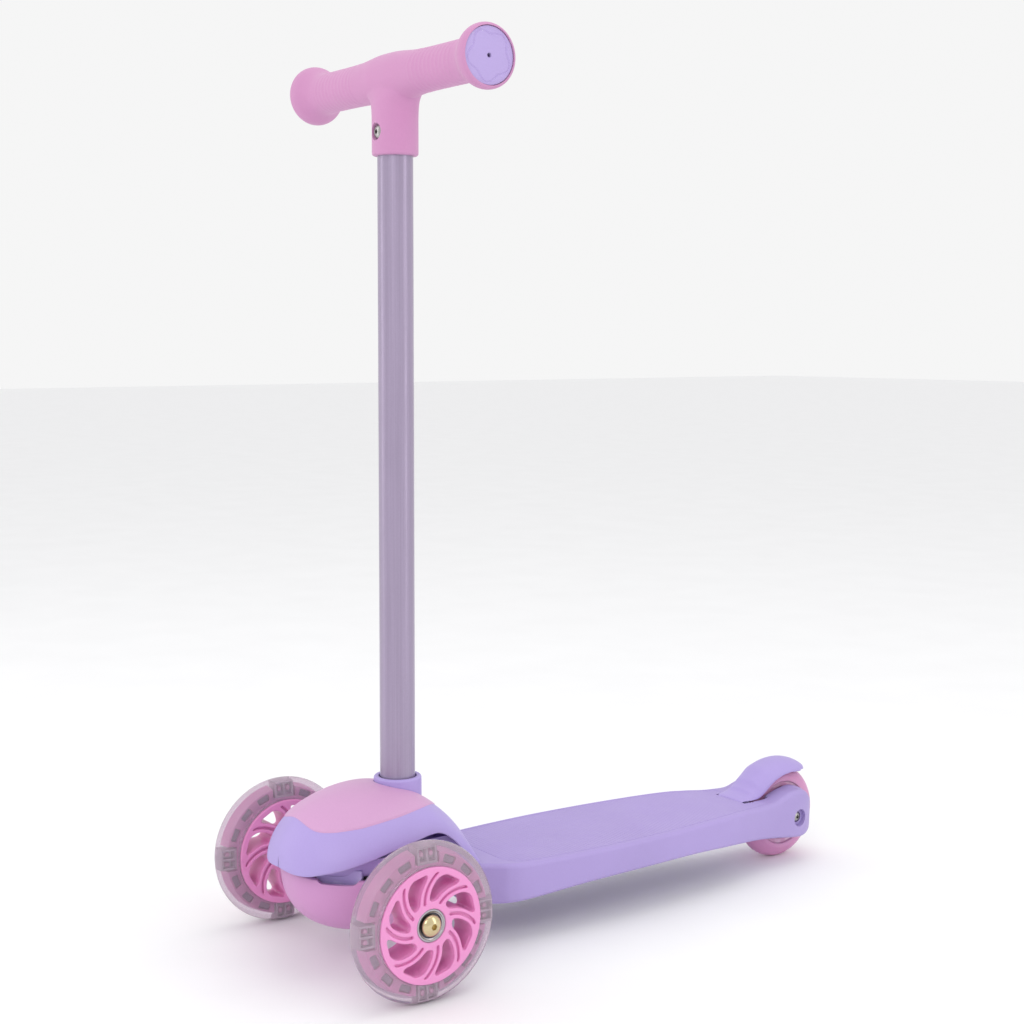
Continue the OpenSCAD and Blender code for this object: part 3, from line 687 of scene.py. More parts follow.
def rim_web(side, tag):
    """The pink flange inside the tyre, with its windows and the gaps for the light modules."""
    plane = wheel_plane(side)
    outline = []
    half_gap = 10.2
    edge_in, edge_out = (math.degrees(math.asin(half_gap / r)) for r in (WEB_IN_R, WEB_R))
    for centre in (0, 90, 180, 270):
        outline += arc(0, 0, WEB_R, centre - 90 + edge_out, centre - edge_out, 20)
        outline += arc(0, 0, WEB_IN_R, centre - edge_in, centre + edge_in, 6)
    places = [45 + 90 * k + 21.8 * j for k in range(4) for j in (-1, 0, 1)]
    windows = [rounded_sector(45.9, 50.9, 12.5, 1.3, a) for a in places]
    web = plate("rim_web_" + tag, [outline, ring_points(RIM_R - 1)] + windows, -5.2, 5.2, 0.6, plane, 2)
    panes = [plate("pane", [rounded_sector(46.2, 50.6, 11.7, 1.0, a)], -3.6, 3.6, 0.5, plane, 1)
             for a in places]
    return web, merge_as("web_panes_" + tag, panes)


def rounded_sector(r0, r1, span, corner, centre):
    """A block between two radii with round corners, span degrees wide."""
    points = []
    half = math.radians(span / 2)
    outer, inner = r1 - corner, r0 + corner
    for quarter, (rc, s) in enumerate(((outer, 1), (inner, 1), (inner, -1), (outer, -1))):
        for i in range(5):
            b = math.pi / 2 * (quarter + i / 4)
            r = rc + corner * math.cos(b)
            a = math.radians(centre) + s * (half - corner / rc) + corner * math.sin(b) / rc
            points.append((r * math.cos(a), r * math.sin(a)))
    return points


def tyre(side, tag):
    """Clear cast tyre with a round tread and a small step beside the hub."""
    plane = wheel_plane(side)
    half = TYRE_W / 2
    tread = arc(FRONT_R - half, 0, half, -88, 88, 40)
    profile = [(RIM_R + 0.1, -half + 0.9), (RIM_R + 0.6, -half + 0.35)] + tread + \
        [(RIM_R + 0.6, half - 0.35), (RIM_R + 0.1, half - 0.9)]
    return turned("tyre_" + tag, profile, plane, 160, closed=True)


def light_modules(side, tag):
    """Four clear modules: a housing with a thick frame, a small board and a diode in each."""
    plane = wheel_plane(side)
    cases, boards, lamps = [], [], []
    for k in range(4):
        turn = plane @ Matrix.Rotation(math.radians(90 * k), 4, "Z")
        slots = [rectangle(46.6, 55.2, -6.7, -0.9), rectangle(46.6, 55.2, 0.9, 6.7)]
        cases.append(plate("case", [rectangle(44.6, 57.2, -8.5, 8.5)] + slots, -5.4, 5.4, 0.4, turn, 1))
        boards.append(plate("card", [rectangle(46.9, 54.9, -6.5, 6.5)], -0.8, 0.8, 0.2, turn, 1))
        for y in (-4.0, 4.0):
            lamps.append(turned("lamp", [(0, -4), (1.5, -3.8), (2.1, -2.6), (2.1, 2.6), (1.5, 3.8), (0, 4)],
                                turn @ Matrix.Translation((51, y, 0)), 20))
    return (merge_as("module_cases_" + tag, cases), merge_as("module_boards_" + tag, boards),
            merge_as("module_diodes_" + tag, lamps))


def wheel_bearings(side, tag):
    """Two ball bearings: races, shield and the bright seat ring round them."""
    rings, shields = [], []
    face = HUB_W / 2 - 1.6
    for turn in (0, math.pi):
        plane = wheel_plane(side) @ Matrix.Rotation(turn, 4, "X")
        rings.append(turned("race", [
            (9.6, face - 7), (BEARING_R, face - 7), (BEARING_R, face - 1.4), (12.2, face - 1.2),
            (12.25, face - 0.2), (12.0, face + 0.1), (10.7, face + 0.1), (10.3, face - 0.4),
            (9.6, face - 0.6)], plane, 72, closed=True))
        rings.append(turned("race", [
            (4.1, face - 7), (6.3, face - 7), (6.3, face - 0.5), (6.0, face - 0.2), (4.4, face - 0.2),
            (4.1, face - 0.5)], plane, 64, closed=True))
        shields.append(turned("shield", [
            (6.3, face - 6.4), (9.7, face - 6.4), (9.7, face - 1.5), (8.0, face - 1.2), (6.3, face - 1.5)],
            plane, 64, closed=True))
    return merge_as("bearing_races_" + tag, rings), merge_as("bearing_shields_" + tag, shields)


def button_bolt(name, head_r, head_h, shank_r, shank, socket, plane):
    """Button-head bolt: local Z points out of the head, whose seat is at z = 0."""
    profile = [(0, -shank), (shank_r - 0.6, -shank), (shank_r, -shank + 0.6), (shank_r, -0.3),
               (shank_r + 0.3, 0), (head_r - 0.4, 0), (head_r, 0.35), (head_r, head_h * 0.22)]
    for i in range(1, 13):
        t = i / 12
        r = head_r * (1 - t) + socket * 0.98 * t
        z = head_h * (0.22 + 0.78 * (1 - (r / head_r) ** 2) ** 0.62)
        profile.append((r, z))
    profile += [(0, profile[-1][1])]
    obj = turned(name, profile, plane, 72)
    hexagon = arc(0, 0, socket, 0, 300, 5)
    return carve(obj, [prism("socket", hexagon, head_h * 0.12, head_h + 2, plane)])


def build_front_wheel(side, tag):
    body = "front_wheel_" + tag
    finish_piece(hub(side, tag), body, M["candy"], ["wheel_core_" + tag])
    web, pane = rim_web(side, tag)
    finish_piece(web, body, M["web"])
    finish_piece(pane, body, M["window"])
    finish_piece(tyre(side, tag), body, M["clear"], ["tyre_" + tag])
    case, board, lamp = light_modules(side, tag)
    finish_piece(case, body, M["housing"], ["led_modules_" + tag])
    finish_piece(board, body, M["board"])
    finish_piece(lamp, body, M["diode"])
    race, shield = wheel_bearings(side, tag)
    finish_piece(race, body, M["bearing"], ["bearings_" + tag])
    finish_piece(shield, body, M["shield"])
    seat = wheel_plane(side) @ Matrix.Translation((0, 0, HUB_W / 2 - 1.9))
    shank = abs(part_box("axle_bolt_" + tag)[0 if side > 0 else 1].x / MM - side * (TRACK + HUB_W / 2 - 1.9))
    bolt = button_bolt("axle_bolt_head_" + tag, 8.2, 4.9, 3.95, shank, 2.5, seat)
    finish_piece(bolt, "truck", M["gold"], ["axle_bolt_" + tag], 32)


# ---------- steering bowl ----------

def corner_block(name, side, centre_y, near, far, half, low, high, corner, turn=46):
    """Block set along the bowl's front corner, its two lower corners rounded."""
    outline = [(half, high), (-half, high)]
    outline += [(-half + corner - corner * math.cos(a), low + corner - corner * math.sin(a))
                for a in np.linspace(0, math.pi / 2, 8)]
    outline += [(half - corner + corner * math.sin(a), low + corner - corner * math.cos(a))
                for a in np.linspace(0, math.pi / 2, 8)]
    a = math.radians(-turn)
    out = Vector((side * math.cos(a), math.sin(a), 0))
    along = Vector((-out.y, out.x, 0))
    frame_of = Matrix((along, (0, 0, 1), out)).transposed().to_4x4()
    return prism(name, outline, near, far, Matrix.Translation((0, centre_y, 0)) @ frame_of)


def build_bowl():
    """Round pink bowl of the truck with a stub arm to each wheel."""
    low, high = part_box("truck_shell")
    bottom, top = low.z / MM, high.z / MM
    centre_y, wall = FRONT_Y + 10, 3.4
    skin = smooth_rows([(0, 0), (20, 0.8), (32, 3.2), (42, 7.8), (50, 14.5), (55.5, 22.5), (59, 31.5),
                        (60.7, 41), (61, 48.5)], 3)
    outer = [(max(r, 0), bottom + h) for r, h in skin]
    inner = [(max(r - wall, 0), bottom + h + wall) for r, h in skin if h < 46]
    rim = top - 0.2
    place = Matrix.Translation((0, centre_y, 0))
    solid = turned("truck_bowl", outer + [(60.6, rim), (0, rim)], place, 128)
    arm = [(0, 40), (17, 40), (16.5, 52), (14.6, 60), (13.2, 68), (12.7, 78), (12.5, 90.5), (11.9, 91.6),
           (0, 91.6)]
    arms = [turned("arm", arm, along_x(0, FRONT_Y, FRONT_R, s), 64) for s in (1, -1)]
    carve(solid, arms, "UNION")
    soften(solid, 1.15, 5)
    hollow = turned("hollow", inner + [(57.3, 140), (0, 140)], place, 128)
    gap = prism("gap", rectangle(-46, 46, FRONT_Y + 34, FRONT_Y + 94), 40, 90)
    bores = [rod("bore", 9.2, 30, 120, along_x(0, FRONT_Y, FRONT_R, s), 48) for s in (1, -1)]
    notches = [corner_block("notch", s, centre_y, 50, 70, 17, 74.6, 90, 6) for s in (1, -1)]
    carve(solid, [hollow, gap] + bores + notches)
    finish_piece(solid, "truck", M["bowl"], ["truck_shell"])


# ---------- front cover and its inset ----------

# distance from the front axle, crown height, half-width, rim height, and the power of the dome's curve
COVER_ROWS = [
    (-60.4, 91.5, 1, 84.6, 1.65), (-59.7, 96, 14, 83.8, 1.65), (-57.2, 103.2, 24, 83.4, 1.65),
    (-52, 111.8, 34, 84, 1.65), (-44, 120.3, 43, 86.5, 1.65), (-32, 127.5, 51.6, 89.7, 1.65),
    (-15, 132.5, 58.5, 94.7, 1.68),
    (5, 134.9, 62, 100.7, 1.8), (25, 134.4, 62.6, 105.2, 2.0), (42, 131.4, 61.3, 107.7, 2.2),
    (53, 127, 58.5, 105.2, 2.3), (64, 120, 54.5, 98.2, 2.4), (76, 110, 49.5, 87.7, 2.4),
    (87, 97.5, 44, 76.7, 2.4),
    (96, 84, 39.5, 69.2, 2.4), (102, 73, 36.5, 66.5, 2.4)]
# half-width of the inset along the cover
INSET_ROWS = [
    (-45.6, 1), (-45.2, 9), (-44.4, 16), (-43, 21.6), (-41, 26), (-37, 31.2), (-30, 37), (-20, 42.4),
    (-10, 46.4), (5, 49.7), (20, 51), (35, 49.2), (45, 45.4), (55, 37.6), (62, 29.5), (70, 19), (76, 11),
    (79.5, 4.5), (80.3, 1)]


def dome_height(row, x):
    """Height of the dome over one of its rows, x away from the middle."""
    crown, half, rim, power = row[1:5]
    u = np.clip(abs(x) / half, 0, 1)
    return rim + (crown - rim) * (1 - u ** power) ** (1 / power)


def cover_at(y):
    """The cover's row at a distance behind the front axle."""
    dense = smooth_rows(COVER_ROWS, 12)
    return [y] + [float(np.interp(y, dense[:, 0], dense[:, k])) for k in (1, 2, 3, 4)]


def column_hole():
    return rod("hole", 19.5, 60, 170, UPRIGHT, 96)


def build_cover():
    """Domed cover: one smooth shell with a rolled lower edge, open for the column."""
    rows = smooth_rows(COVER_ROWS, 5)
    n, wall = 56, 2.6
    rings = []
    for y, crown, half, rim, power in rows:
        half = max(half, 0.6)
        outside, inside = [], []
        for i in range(n + 1):
            a = math.pi * i / n
            x = -half * math.cos(a)
            outside.append((x, FRONT_Y + y, dome_height((y, crown, half, rim, power), x)))
            thin = max(half - wall, 0.3)
            back = (y, crown - wall, thin, rim - 0.3, power)
            x = -thin * math.cos(a)
            inside.append((x, FRONT_Y + max(y, wall + COVER_ROWS[0][0]), dome_height(back, x)))
        lip = min(wall, half)
        right = [(half - 0.05, FRONT_Y + y, rim - 0.9), (half - lip * 0.3, FRONT_Y + y, rim - 1.7),
                 (half - lip * 0.7, FRONT_Y + y, rim - 1.7)]
        left = [(-x, y_, z) for x, y_, z in reversed(right)]
        rings.append(outside + right + inside[::-1] + left)
    shell = lofted("front_cover_shell", rings)
    carve(shell, [column_hole()], solver="EXACT")
    finish_piece(shell, "deck", M["lilac"], ["front_cover"])


def build_inset():
    """Pink inset laid over the crown, its edge rounded down into the seam."""
    rows = smooth_rows(INSET_ROWS, 5)
    n, proud, foot = 40, 0.9, -0.7
    edge = [(1.0, foot), (1.0, 0.1), (0.996, 0.45), (0.985, 0.75)]
    rings = []
    start, stop = rows[0][0], rows[-1][0]
    for y, half in rows:
        half = max(half, 0.5)
        row = cover_at(y)
        ring = [(-half * share, lift) for share, lift in edge]
        ring += [(-half * 0.985 * math.cos(math.pi * i / n), proud) for i in range(1, n)]
        ring += [(half * share, lift) for share, lift in reversed(edge)]
        ring += [(half * (1 - 2 * i / 12), foot) for i in range(1, 12)]
        # the raised part sinks at both ends of the inset
        end = max(min(1.0, (y - start) / 1.2, (stop - y) / 1.5), 0)
        rings.append([(x, FRONT_Y + y, dome_height(row, x) + (lift if lift < 0.2 else lift * (0.3 + 0.7 * end)))
                      for x, lift in ring])
    inset = lofted("cover_inset_panel", rings)
    carve(inset, [column_hole()], solver="EXACT")
    finish_piece(inset, "deck", M["pink"], ["cover_inset"])


# ---------- column ----------

def build_column():
    """Painted tube, and the flanged collar that it stands in."""
    low, high = (corner.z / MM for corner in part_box("column_tube"))
    wall = 1.5
    profile = [(TUBE_R - wall, low), (TUBE_R - 0.3, low), (TUBE_R, low + 0.3)]
    profile += [(TUBE_R, low + (high - low) * i / 12) for i in range(1, 12)]
    profile += [(TUBE_R, high - 0.3), (TUBE_R - 0.3, high), (TUBE_R - wall, high)]
    tube = turned("column_tube_painted", profile, UPRIGHT, 128, closed=True)
    finish_piece(tube, "deck", M["tube"], ["column_tube"])

    foot, top = (corner.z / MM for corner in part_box("column_socket"))
    mouth = TUBE_R + 1.1
    outline = [(TUBE_R + 0.05, foot), (26.6, foot), (27, foot + 0.4), (27, foot + 4.2), (26.2, foot + 5),
               (21.5, foot + 5.4), (19.8, foot + 7.5), (19.2, foot + 12), (19.1, top - 4)]
    outline += arc(19.1 - 2.0, top - 2.2, 2.0, 0, 90, 6)
    outline += [(16.6, top - 0.25), (mouth + 0.5, top - 0.35), (mouth, top - 0.9), (mouth - 0.2, top - 5),
                (TUBE_R + 0.05, top - 6)]
    collar = turned("column_collar", outline, UPRIGHT, 128, closed=True)
    carve(collar, [rod("bore", 3.3, -30, 30, along_x(0, COLUMN_Y, foot + 18), 32)])
    finish_piece(collar, "deck", M["lilac"], ["column_socket"])


# ---------- handle ----------

# distance from the middle of the bar, radius of the grip
GRIP_ROWS = [
    (0, 19.2), (12, 18.95), (24, 17.9), (38, 16.7), (55, 16.1), (90, 16), (102, 16.2), (109, 17.2),
    (114.5, 19.8), (118.5, 22.4), (122, 23.7), (125.2, 23.95), (127.6, 23.4), (128.8, 22.4), (129, 21.6)]
CAP_R = 21.1
CAP_DEPTH = 1.3


def build_handle():
    """One soft moulding: the bar and its stem run into each other, with fine rings round both grips."""
    bar = [(x, max(r, 0)) for x, r in smooth_rows(GRIP_ROWS, 4)]
    half = [(r, x) for x, r in bar if x > 0]
    profile = [(0, -HALF_BAR)] + [(r, -x) for r, x in reversed(half)] + [(bar[0][1], 0)] + half + \
        [(0, HALF_BAR)]
    solid = turned("handle_grip_skin", profile, along_x(0, COLUMN_Y, BAR_Z), 96)
    stem_r = 18.2
    rows = [(BAR_FOOT + 0.05, -1.4), (BAR_FOOT + 0.5, -0.4), (BAR_FOOT + 1.6, 0), (BAR_Z - 34, 0)]
    flare = [(BAR_Z - 30, 0.1), (BAR_Z - 25, 0.8), (BAR_Z - 21, 2.2), (BAR_Z - 18, 4.4), (BAR_Z - 15.5, 8),
             (BAR_Z - 12, 13), (BAR_Z - 6, 15), (BAR_Z, 15)]
    rings = []
    for z, wide in rows + flare:
        deep = min(wide, 0) - 1.4 * float(ease(z, BAR_Z - 24, BAR_Z - 6))
        rings.append([((stem_r + wide) * math.cos(a), COLUMN_Y + (stem_r + deep) * math.sin(a), z)
                      for a in np.linspace(0, 2 * math.pi, 96, endpoint=False)])
    post = lofted("stem", rings)
    carve(solid, [post], "UNION", "EXACT")
    soften(solid, 0.85, 7)
    rings_in, rings_out, pitch, height = 44, 102, 5.4, 0.24
    co = np.empty(len(solid.data.vertices) * 3)
    solid.data.vertices.foreach_get("co", co)
    co = co.reshape(-1, 3) / MM
    x = np.abs(co[:, 0])
    wave = np.clip(np.cos(2 * np.pi * (x - rings_in) / pitch), -0.2, 1) * height
    wave *= ease(x, rings_in - 6, rings_in) * (1 - ease(x, rings_out - 3, rings_out + 1))
    radial = co - np.array([0, COLUMN_Y, BAR_Z]) * [0, 1, 1]
    radial[:, 0] = 0
    length = np.linalg.norm(radial, axis=1).clip(1e-3)
    co += radial / length[:, None] * (wave * (length > 14))[:, None]
    solid.data.vertices.foreach_set("co", (co * MM).ravel())

    sockets = [rod("socket", CAP_R + 0.35, -10, 5, along_x(s * HALF_BAR, COLUMN_Y, BAR_Z, s), 96)
               for s in (1, -1)]
    front = Matrix.Translation((0, COLUMN_Y, BOLT_Z)) @ Matrix.Rotation(math.radians(90), 4, "X")
    counter = [(0, 14.4), (6.5, 14.4), (6.5, 17.2), (7.0, 18.4), (7.4, 30), (0, 30)]
    back = front @ Matrix.Rotation(math.pi, 4, "X")
    sockets += [turned("counterbore", counter, front, 48), turned("counterbore", counter, back, 48)]
    sockets.append(rod("bore", 3.1, -40, 40, front, 32))
    sockets.append(rod("tube_room", TUBE_R + 0.15, BAR_FOOT - 10, BAR_FOOT + 60, UPRIGHT, 96))
    carve(solid, sockets)
    finish_piece(solid, "deck", M["grip"], ["handle_grip"])

    bolt = button_bolt("handle_bolt_head", 5.7, 2.9, 2.9, 24, 1.9,
                       front @ Matrix.Translation((0, 0, 14.5)))
    finish_piece(bolt, "deck", M["zinc"], ["handle_bolt"], 32)


def build_caps():
    """Lilac discs in the bar's ends, with a small hole and a fine rosette line of five round lobes."""
    lobes, groove = 5, 0.55
    rings, spin, back = 72, 240, -4.6
    radii = [1.7] + [1.7 + (CAP_R - 2.2) * i / rings for i in range(1, rings + 1)] + [CAP_R - 0.2, CAP_R]
    turns = [2 * math.pi * i / spin for i in range(spin)]
    for s, tag in ((1, "left"), (-1, "right")):
        place = along_x(s * HALF_BAR, COLUMN_Y, BAR_Z, s)
        points = []
        for k, r in enumerate(radii):
            for a in turns:
                line = 17.3 + 1.9 * math.cos(lobes * a + 0.6)
                z = -CAP_DEPTH - 0.45 * math.exp(-((r - line) / groove) ** 2)
                z -= 0.35 if k == len(radii) - 1 else 0
                z -= 0.2 * (r < 2.0)
                z += 0.4 * (1 - (r / CAP_R) ** 2)
                points.append(place @ Vector((r * math.cos(a), r * math.sin(a), z)))
        for r in (radii[-1], radii[0]):
            points += [place @ Vector((r * math.cos(a), r * math.sin(a), back)) for a in turns]
        faces = grid_faces(len(radii) + 2, spin, ring=True, wrap=True)
        cap = tidy_mesh(make_object("end_cap_disc_" + tag, points, faces))
        finish_piece(cap, "deck", M["lilac_cap"], ["end_cap_" + tag])


# ---------- deck ----------

# distance from the front axle, then half-width, height of the upper skin, height of the lower edge
BOARD_ROWS = [
    (98, 34), (105, 39), (112, 44), (122, 51), (138, 55.5), (175, 58.5), (215, 60), (260, 59.3), (305, 56.6),
    (350, 52), (383, 46), (407, 40.5), (430, 36.8), (455, 35.2), (468, 34), (478, 30.5), (485, 25.5), (489, 20)]
TOP_ROWS = [(98, 65), (340, 65), (385, 64), (405, 62.6), (418, 62.2), (430, 62.3), (436, 63.3), (444, 66),
            (452, 68.2), (460, 69.2), (467, 68.8), (474, 66.4), (480, 62), (485, 55.5), (489, 46)]
UNDER_ROWS = [(98, 31), (112, 32), (150, 35), (200, 38.5), (260, 39.8), (320, 39.5), (370, 36.5), (405, 33),
              (430, 29.5), (462, 25), (476, 25.8), (484, 30), (489, 38)]
EAR_IN = 15
EAR_ARC = 27
SHOULDER = 4.2
PANEL_ENDS = (124.5, 417.5)
PANEL_CORNER = 15.0
LINE_INSET = 5.8            # from the deck's edge to the fine line round the standing panel


def panel_distance(x, y):
    """Distance from the outline of the standing panel: above zero inside it."""
    half = follow(BOARD_ROWS, y) - LINE_INSET
    side = half - np.abs(x)
    front, rear = y - PANEL_ENDS[0], PANEL_ENDS[1] - y
    inside = np.minimum(np.minimum(side, rear), front)
    in_corner = (side < PANEL_CORNER) & (front < PANEL_CORNER)
    rounded = PANEL_CORNER - np.hypot(PANEL_CORNER - side, PANEL_CORNER - front)
    return np.where(in_corner, np.minimum(inside, rounded), inside)


def board_height(x, y):
    """Height of the deck's upper skin."""
    base = follow(TOP_ROWS, y)
    from_axle = y - (REAR_Y - FRONT_Y)
    lip = REAR_R + np.sqrt(np.maximum(EAR_ARC ** 2 - from_axle ** 2, 0))
    lip = np.where(np.abs(from_axle) < EAR_ARC, lip, 0)
    inner = 1 - ease(np.abs(x), 19.5, 25.5)
    base = base + np.maximum(lip - base, 0) * inner
    d = panel_distance(x, y)
    line = 0.9 * np.exp(-(d / 0.6) ** 2)
    inside = ease(d, 0.9, 1.9)
    ribs = 0.2 * np.clip(np.cos(2 * np.pi * y / 3.2) * 1.6, -1, 1) * inside
    return base - line + ribs - 0.35 * inside


def build_deck():
    """Waisted deck: ribbed standing panel inside a fine line, soft shoulders, and the fork's ears."""
    ys = np.concatenate([np.arange(98, 118, 2.0), np.arange(118, 145, 0.8), np.arange(145, 418, 0.8),
                         np.arange(418, 470, 1.5), np.arange(470, 488.9, 1.2), [489]])
    rings = []
    for y in ys:
        half = float(follow(BOARD_ROWS, y))
        top = float(follow(TOP_ROWS, y))
        low = float(follow(UNDER_ROWS, y))
        round_r = min(SHOULDER, (top - low) * 0.45, half * 0.4)
        fine = LINE_INSET + np.array([2.2, 1.6, 1.1, 0.7, 0.35, 0, -0.35, -0.7, -1.1])
        xs = np.concatenate([(half - 9) * np.linspace(0, 1, 20), half - fine, [half - round_r]])
        upper = [(x, float(board_height(np.array(x), np.array(y)))) for x in xs]
        start = upper[-1][1]
        for i in range(1, 8):
            a = math.radians(90 * i / 7)
            upper.append((half - round_r + round_r * math.sin(a), start - round_r * (1 - math.cos(a))))
        wall = [(half - 0.1, low + (start - round_r - low) * 0.55), (half - 0.5, low + 3.2)]
        foot = [(half - 3.1 + 2.6 * math.cos(a), low + 3.2 - 3.2 * math.sin(a))
                for a in np.linspace(0, math.pi / 2, 5)[1:]]
        lower = [(foot[-1][0] * (1 - i / 5), low) for i in range(1, 6)]
        right = upper + wall + foot + lower
        ring = [(x, FRONT_Y + y, z) for x, z in right] + [(-x, FRONT_Y + y, z) for x, z in right[-2:0:-1]]
        rings.append(ring)
    solid = lofted("deck_shell", rings)

    rear = REAR_Y
    cuts = []
    # the slot for the rear wheel, and the recess that the brake's foot folds into
    cuts.append(prism("slot", rectangle(-EAR_IN, EAR_IN, rear - 57, rear + 60), 0, 100))
    cuts.append(prism("recess", rectangle(-19.3, 19.3, rear - 57.5, rear - 27), 50, 100))
    for s in (1, -1):
        cuts.append(turned("bolt_seat", [(0, 29), (7.6, 29), (7.6, 33.2), (8.2, 34.2), (8.6, 50), (0, 50)],
                           along_x(0, rear, REAR_R, s), 48))
    cuts.append(rod("axle", 4, -60, 60, along_x(0, rear, REAR_R), 32))
    # hollow underside in cells between cross ribs and two long ribs
    wall, rib = 3.6, 2.6
    stops = [118] + [158 + 42 * i for i in range(6)] + [393]
    for k in range(len(stops) - 1):
        y0, y1 = stops[k] + (rib if k else 0), stops[k + 1]
        for x_side in (-1, 0, 1):
            if x_side == 0:
                outline = rectangle(-20.7, 20.7, FRONT_Y + y0, FRONT_Y + y1)
            else:
                edge = [(x_side * (float(follow(BOARD_ROWS, y)) - wall - 0.4), FRONT_Y + float(y))
                        for y in np.linspace(y0, y1, 6)]
                outline = [(x_side * 23.3, FRONT_Y + y0)] + edge + [(x_side * 23.3, FRONT_Y + y1)]
                if x_side < 0:
                    outline = outline[::-1]
            cuts.append(prism("cell", outline, 0, DECK_TOP - 4.5))
    carve(solid, cuts)
    finish_piece(solid, "deck", M["lilac_deck"], ["deck_board"], 42)


def build_deck_head():
    """The part of the deck under the cover: a dished skirt round the pivot, its boss and the neck."""
    pivot_y, pivot_z, ball, wall = FRONT_Y + 4, 96, 52, 3.4
    top, bottom = 92, 78.6
    skirt = [(math.sqrt(ball ** 2 - (z - pivot_z) ** 2), z) for z in np.linspace(top, bottom, 9)]
    low_r = skirt[-1][0]
    inner = [(r - wall, z) for r, z in reversed(skirt) if bottom + 0.5 < z < top - wall]
    profile = [(0, top), *skirt[:-1], (low_r - 0.4, bottom + 0.3), (low_r - 1, bottom), (low_r - 2.6, bottom),
               *inner, (0, top - wall)]
    solid = turned("deck_head", profile, Matrix.Translation((0, pivot_y, 0)), 128)
    side_view = [(FRONT_Y + 32, bottom), (FRONT_Y + 60, bottom), (FRONT_Y + 66, 48), (FRONT_Y + 116, 48),
                 (FRONT_Y + 116, 62), (FRONT_Y + 103, 64), (FRONT_Y + 78, top), (FRONT_Y + 32, top)]
    neck = prism("neck", side_view, -30.5, 30.5, STAND)
    tilt = Matrix.Translation((0, pivot_y, pivot_z)) @ Matrix.Rotation(math.radians(25), 4, "X")
    boss = turned("boss", [(0, -22), (14.2, -22), (15, -21.2), (15, -4), (0, -4)], tilt, 64)
    lobes = [corner_block("lobe", s, pivot_y + 5, 42, 51.6, 18, 72.2, 84, 7) for s in (1, -1)]
    carve(solid, [neck, boss] + lobes, "UNION")
    bore = rod("bore", 5.1, -70, 20, tilt, 40)
    seat = rod("seat", 19.5, -62, -22, tilt, 64)
    tube_room = rod("tube_room", 14.3, 60, 120, UPRIGHT, 64)
    under = prism("under", rectangle(-26.5, 26.5, FRONT_Y + 62, FRONT_Y + 122), 30, 76)
    carve(solid, [seat, bore, tube_room, under])
    finish_piece(solid, "deck", M["lilac"], ["deck_board"])


# ---------- rear wheel and brake ----------

def build_rear_wheel():
    half = extent("rear_tyre").x / 2
    core = middle("rear_tyre")
    place = along_x(core.x, REAR_Y, REAR_R)
    rim = 29
    tread = arc(REAR_R - half + 1.5, 0, half - 1.2, -76, 76, 30)
    profile = [(rim + 0.05, -half + 1.0), (rim + 0.8, -half + 0.2), (rim + 4, -half + 0.05),
               *((r, x) for r, x in tread if r > rim + 4),
               (rim + 4, half - 0.05), (rim + 0.8, half - 0.2), (rim + 0.05, half - 1.0)]
    top = max(r for r, _ in profile)
    profile = [(r * REAR_R / top if r > rim + 8 else r, x) for r, x in profile]
    skin = turned("rear_tyre_cast", profile, place, 128, closed=True)
    finish_piece(skin, "rear_wheel", M["rear_tyre"], ["rear_tyre"])


# distance behind the rear axle and height of the crown, then the same for the skirt's lower edge
FENDER_ROWS = [
    (-57.2, 57, -57.2, 57), (-57.3, 62.4, -57.2, 62), (-54, 64.4, -52, 62.4), (-49, 66.2, -46, 62.5),
    (-44.4, 69, -41.5, 62.7), (-40.2, 73, -36, 64), (-35, 77.8, -30, 67.5), (-28, 84, -24, 72),
    (-19, 88.9, -16, 77), (-7, 92.2, -7, 80.3), (6, 93, 1, 81.6), (16, 91.3, 9, 81.4), (23.5, 88, 16.5, 80.4),
    (28.8, 84.6, 22.5, 79.2), (31.2, 81.6, 27, 78)]
FENDER_HALF = 18.8


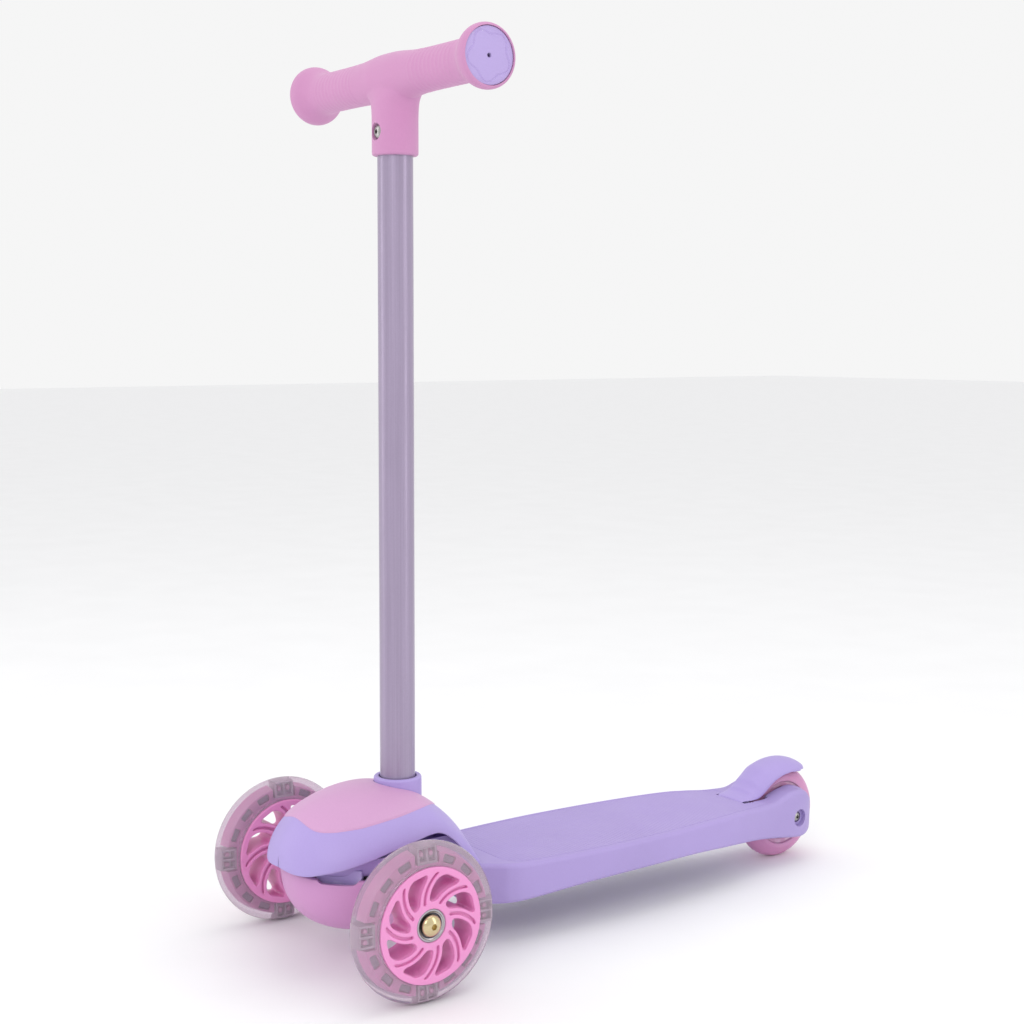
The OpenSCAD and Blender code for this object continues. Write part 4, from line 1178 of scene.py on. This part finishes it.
def build_fender():
    """Saddle-shaped fender that presses on the rear tyre: low treads across its slope, a rounded tip."""
    rows = smooth_rows(FENDER_ROWS, 7)
    n, power = 36, 2.2
    rings = []
    count = len(rows)
    for k, (yc, zc, ye, ze) in enumerate(rows):
        share = k / (count - 1)
        before, after = rows[max(k - 1, 0)], rows[min(k + 1, count - 1)]
        run = np.array([after[0] - before[0], after[1] - before[1]])
        run /= max(np.linalg.norm(run), 1e-6)
        out_y, out_z = -run[1], run[0]
        tip = float(np.clip((share - 0.66) / 0.34, 0, 1))
        half = FENDER_HALF * math.sqrt(1 - 0.84 * tip ** 2.2)
        wall = 3.2 + 1.6 * tip ** 3
        tread = sum(0.7 * math.exp(-((share - centre) / 0.03) ** 2) for centre in (0.3, 0.42, 0.54))
        outside, inside = [], []
        for i in range(n + 1):
            u = -math.cos(math.pi * i / n)
            bulge = (1 - abs(u) ** power) ** (1 / power)
            lift = tread * (1 - abs(u) ** 6)
            y, z = ye + (yc - ye) * bulge, ze + (zc - ze) * bulge
            outside.append((half * u, REAR_Y + y + out_y * lift, z + out_z * lift))
            y_in = ye + (yc - ye) * bulge * 0.93 - out_y * wall * bulge
            z_in = ze + (zc - ze) * bulge * 0.93 - out_z * wall * bulge
            inside.append(((half - 2.4) * u, REAR_Y + y_in, z_in + 0.2))
        rings.append(outside + inside[::-1])
    shell = lofted("brake_fender_shell", rings)
    soften(shell, 0.8, 6)
    pin_axis = along_x(0, *middle("brake_pin").yz)
    hub = turned("hub", [(0, -14.4), (4.6, -14.4), (5.4, -13.6), (5.4, 13.6), (4.6, 14.4), (0, 14.4)],
                 pin_axis, 40)
    carve(shell, [hub], "UNION", "EXACT")
    reach = REAR_R + 3.3
    room = turned("room", [(0, -15.6), (reach - 3, -15.6), (reach, -12), (reach, 12), (reach - 3, 15.6),
                           (0, 15.6)], along_x(0, REAR_Y, REAR_R), 96)
    carve(shell, [room, rod("bore", 2.6, -20, 20, pin_axis, 24)])
    finish_piece(shell, "brake", M["lilac"], ["brake_fender"])


def build_rear_bolt():
    head = button_bolt("rear_axle_bolt_head", 5.4, 2.8, 3.4, 62, 1.8, along_x(27.9, REAR_Y, REAR_R))
    finish_piece(head, "deck", M["zinc"], ["rear_axle_bolt"], 32)


# ---------- what stays as the frame has it ----------

STAYS = {
    "core": ["handle_core"],
    "zinc": ["column_bolt", "column_nut", "socket_screws", "cover_screws", "handle_nut", "kingpin",
             "kingpin_nut", "kingpin_washers", "truck_screws", "rear_axle_nut", "rear_spacers", "brake_pin", "axle_spacers"],
    "spring": ["return_spring", "brake_spring"],
    "nylon": ["truck_frame", "truck_bushes"],
    "magnet": ["magnet_sleeve_left", "magnet_sleeve_right"],
    "copper": ["light_coil_left", "light_coil_right"],
    "bearing": ["rear_bearings"],
    "rear_tyre": ["rear_core"],
}


def dress_frame():
    """Gives the nodes that keep the frame's own mesh their materials."""
    for key, nodes in STAYS.items():
        for node in nodes:
            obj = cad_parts[node]
            obj.data.materials.clear()
            obj.data.materials.append(M[key])


make_camera()
make_studio()
dress_frame()
for side, tag in ((1, "left"), (-1, "right")):
    build_front_wheel(side, tag)
for build in (build_bowl, build_cover, build_inset, build_column, build_handle, build_caps, build_deck,
              build_deck_head, build_rear_wheel, build_fender, build_rear_bolt):
    build()
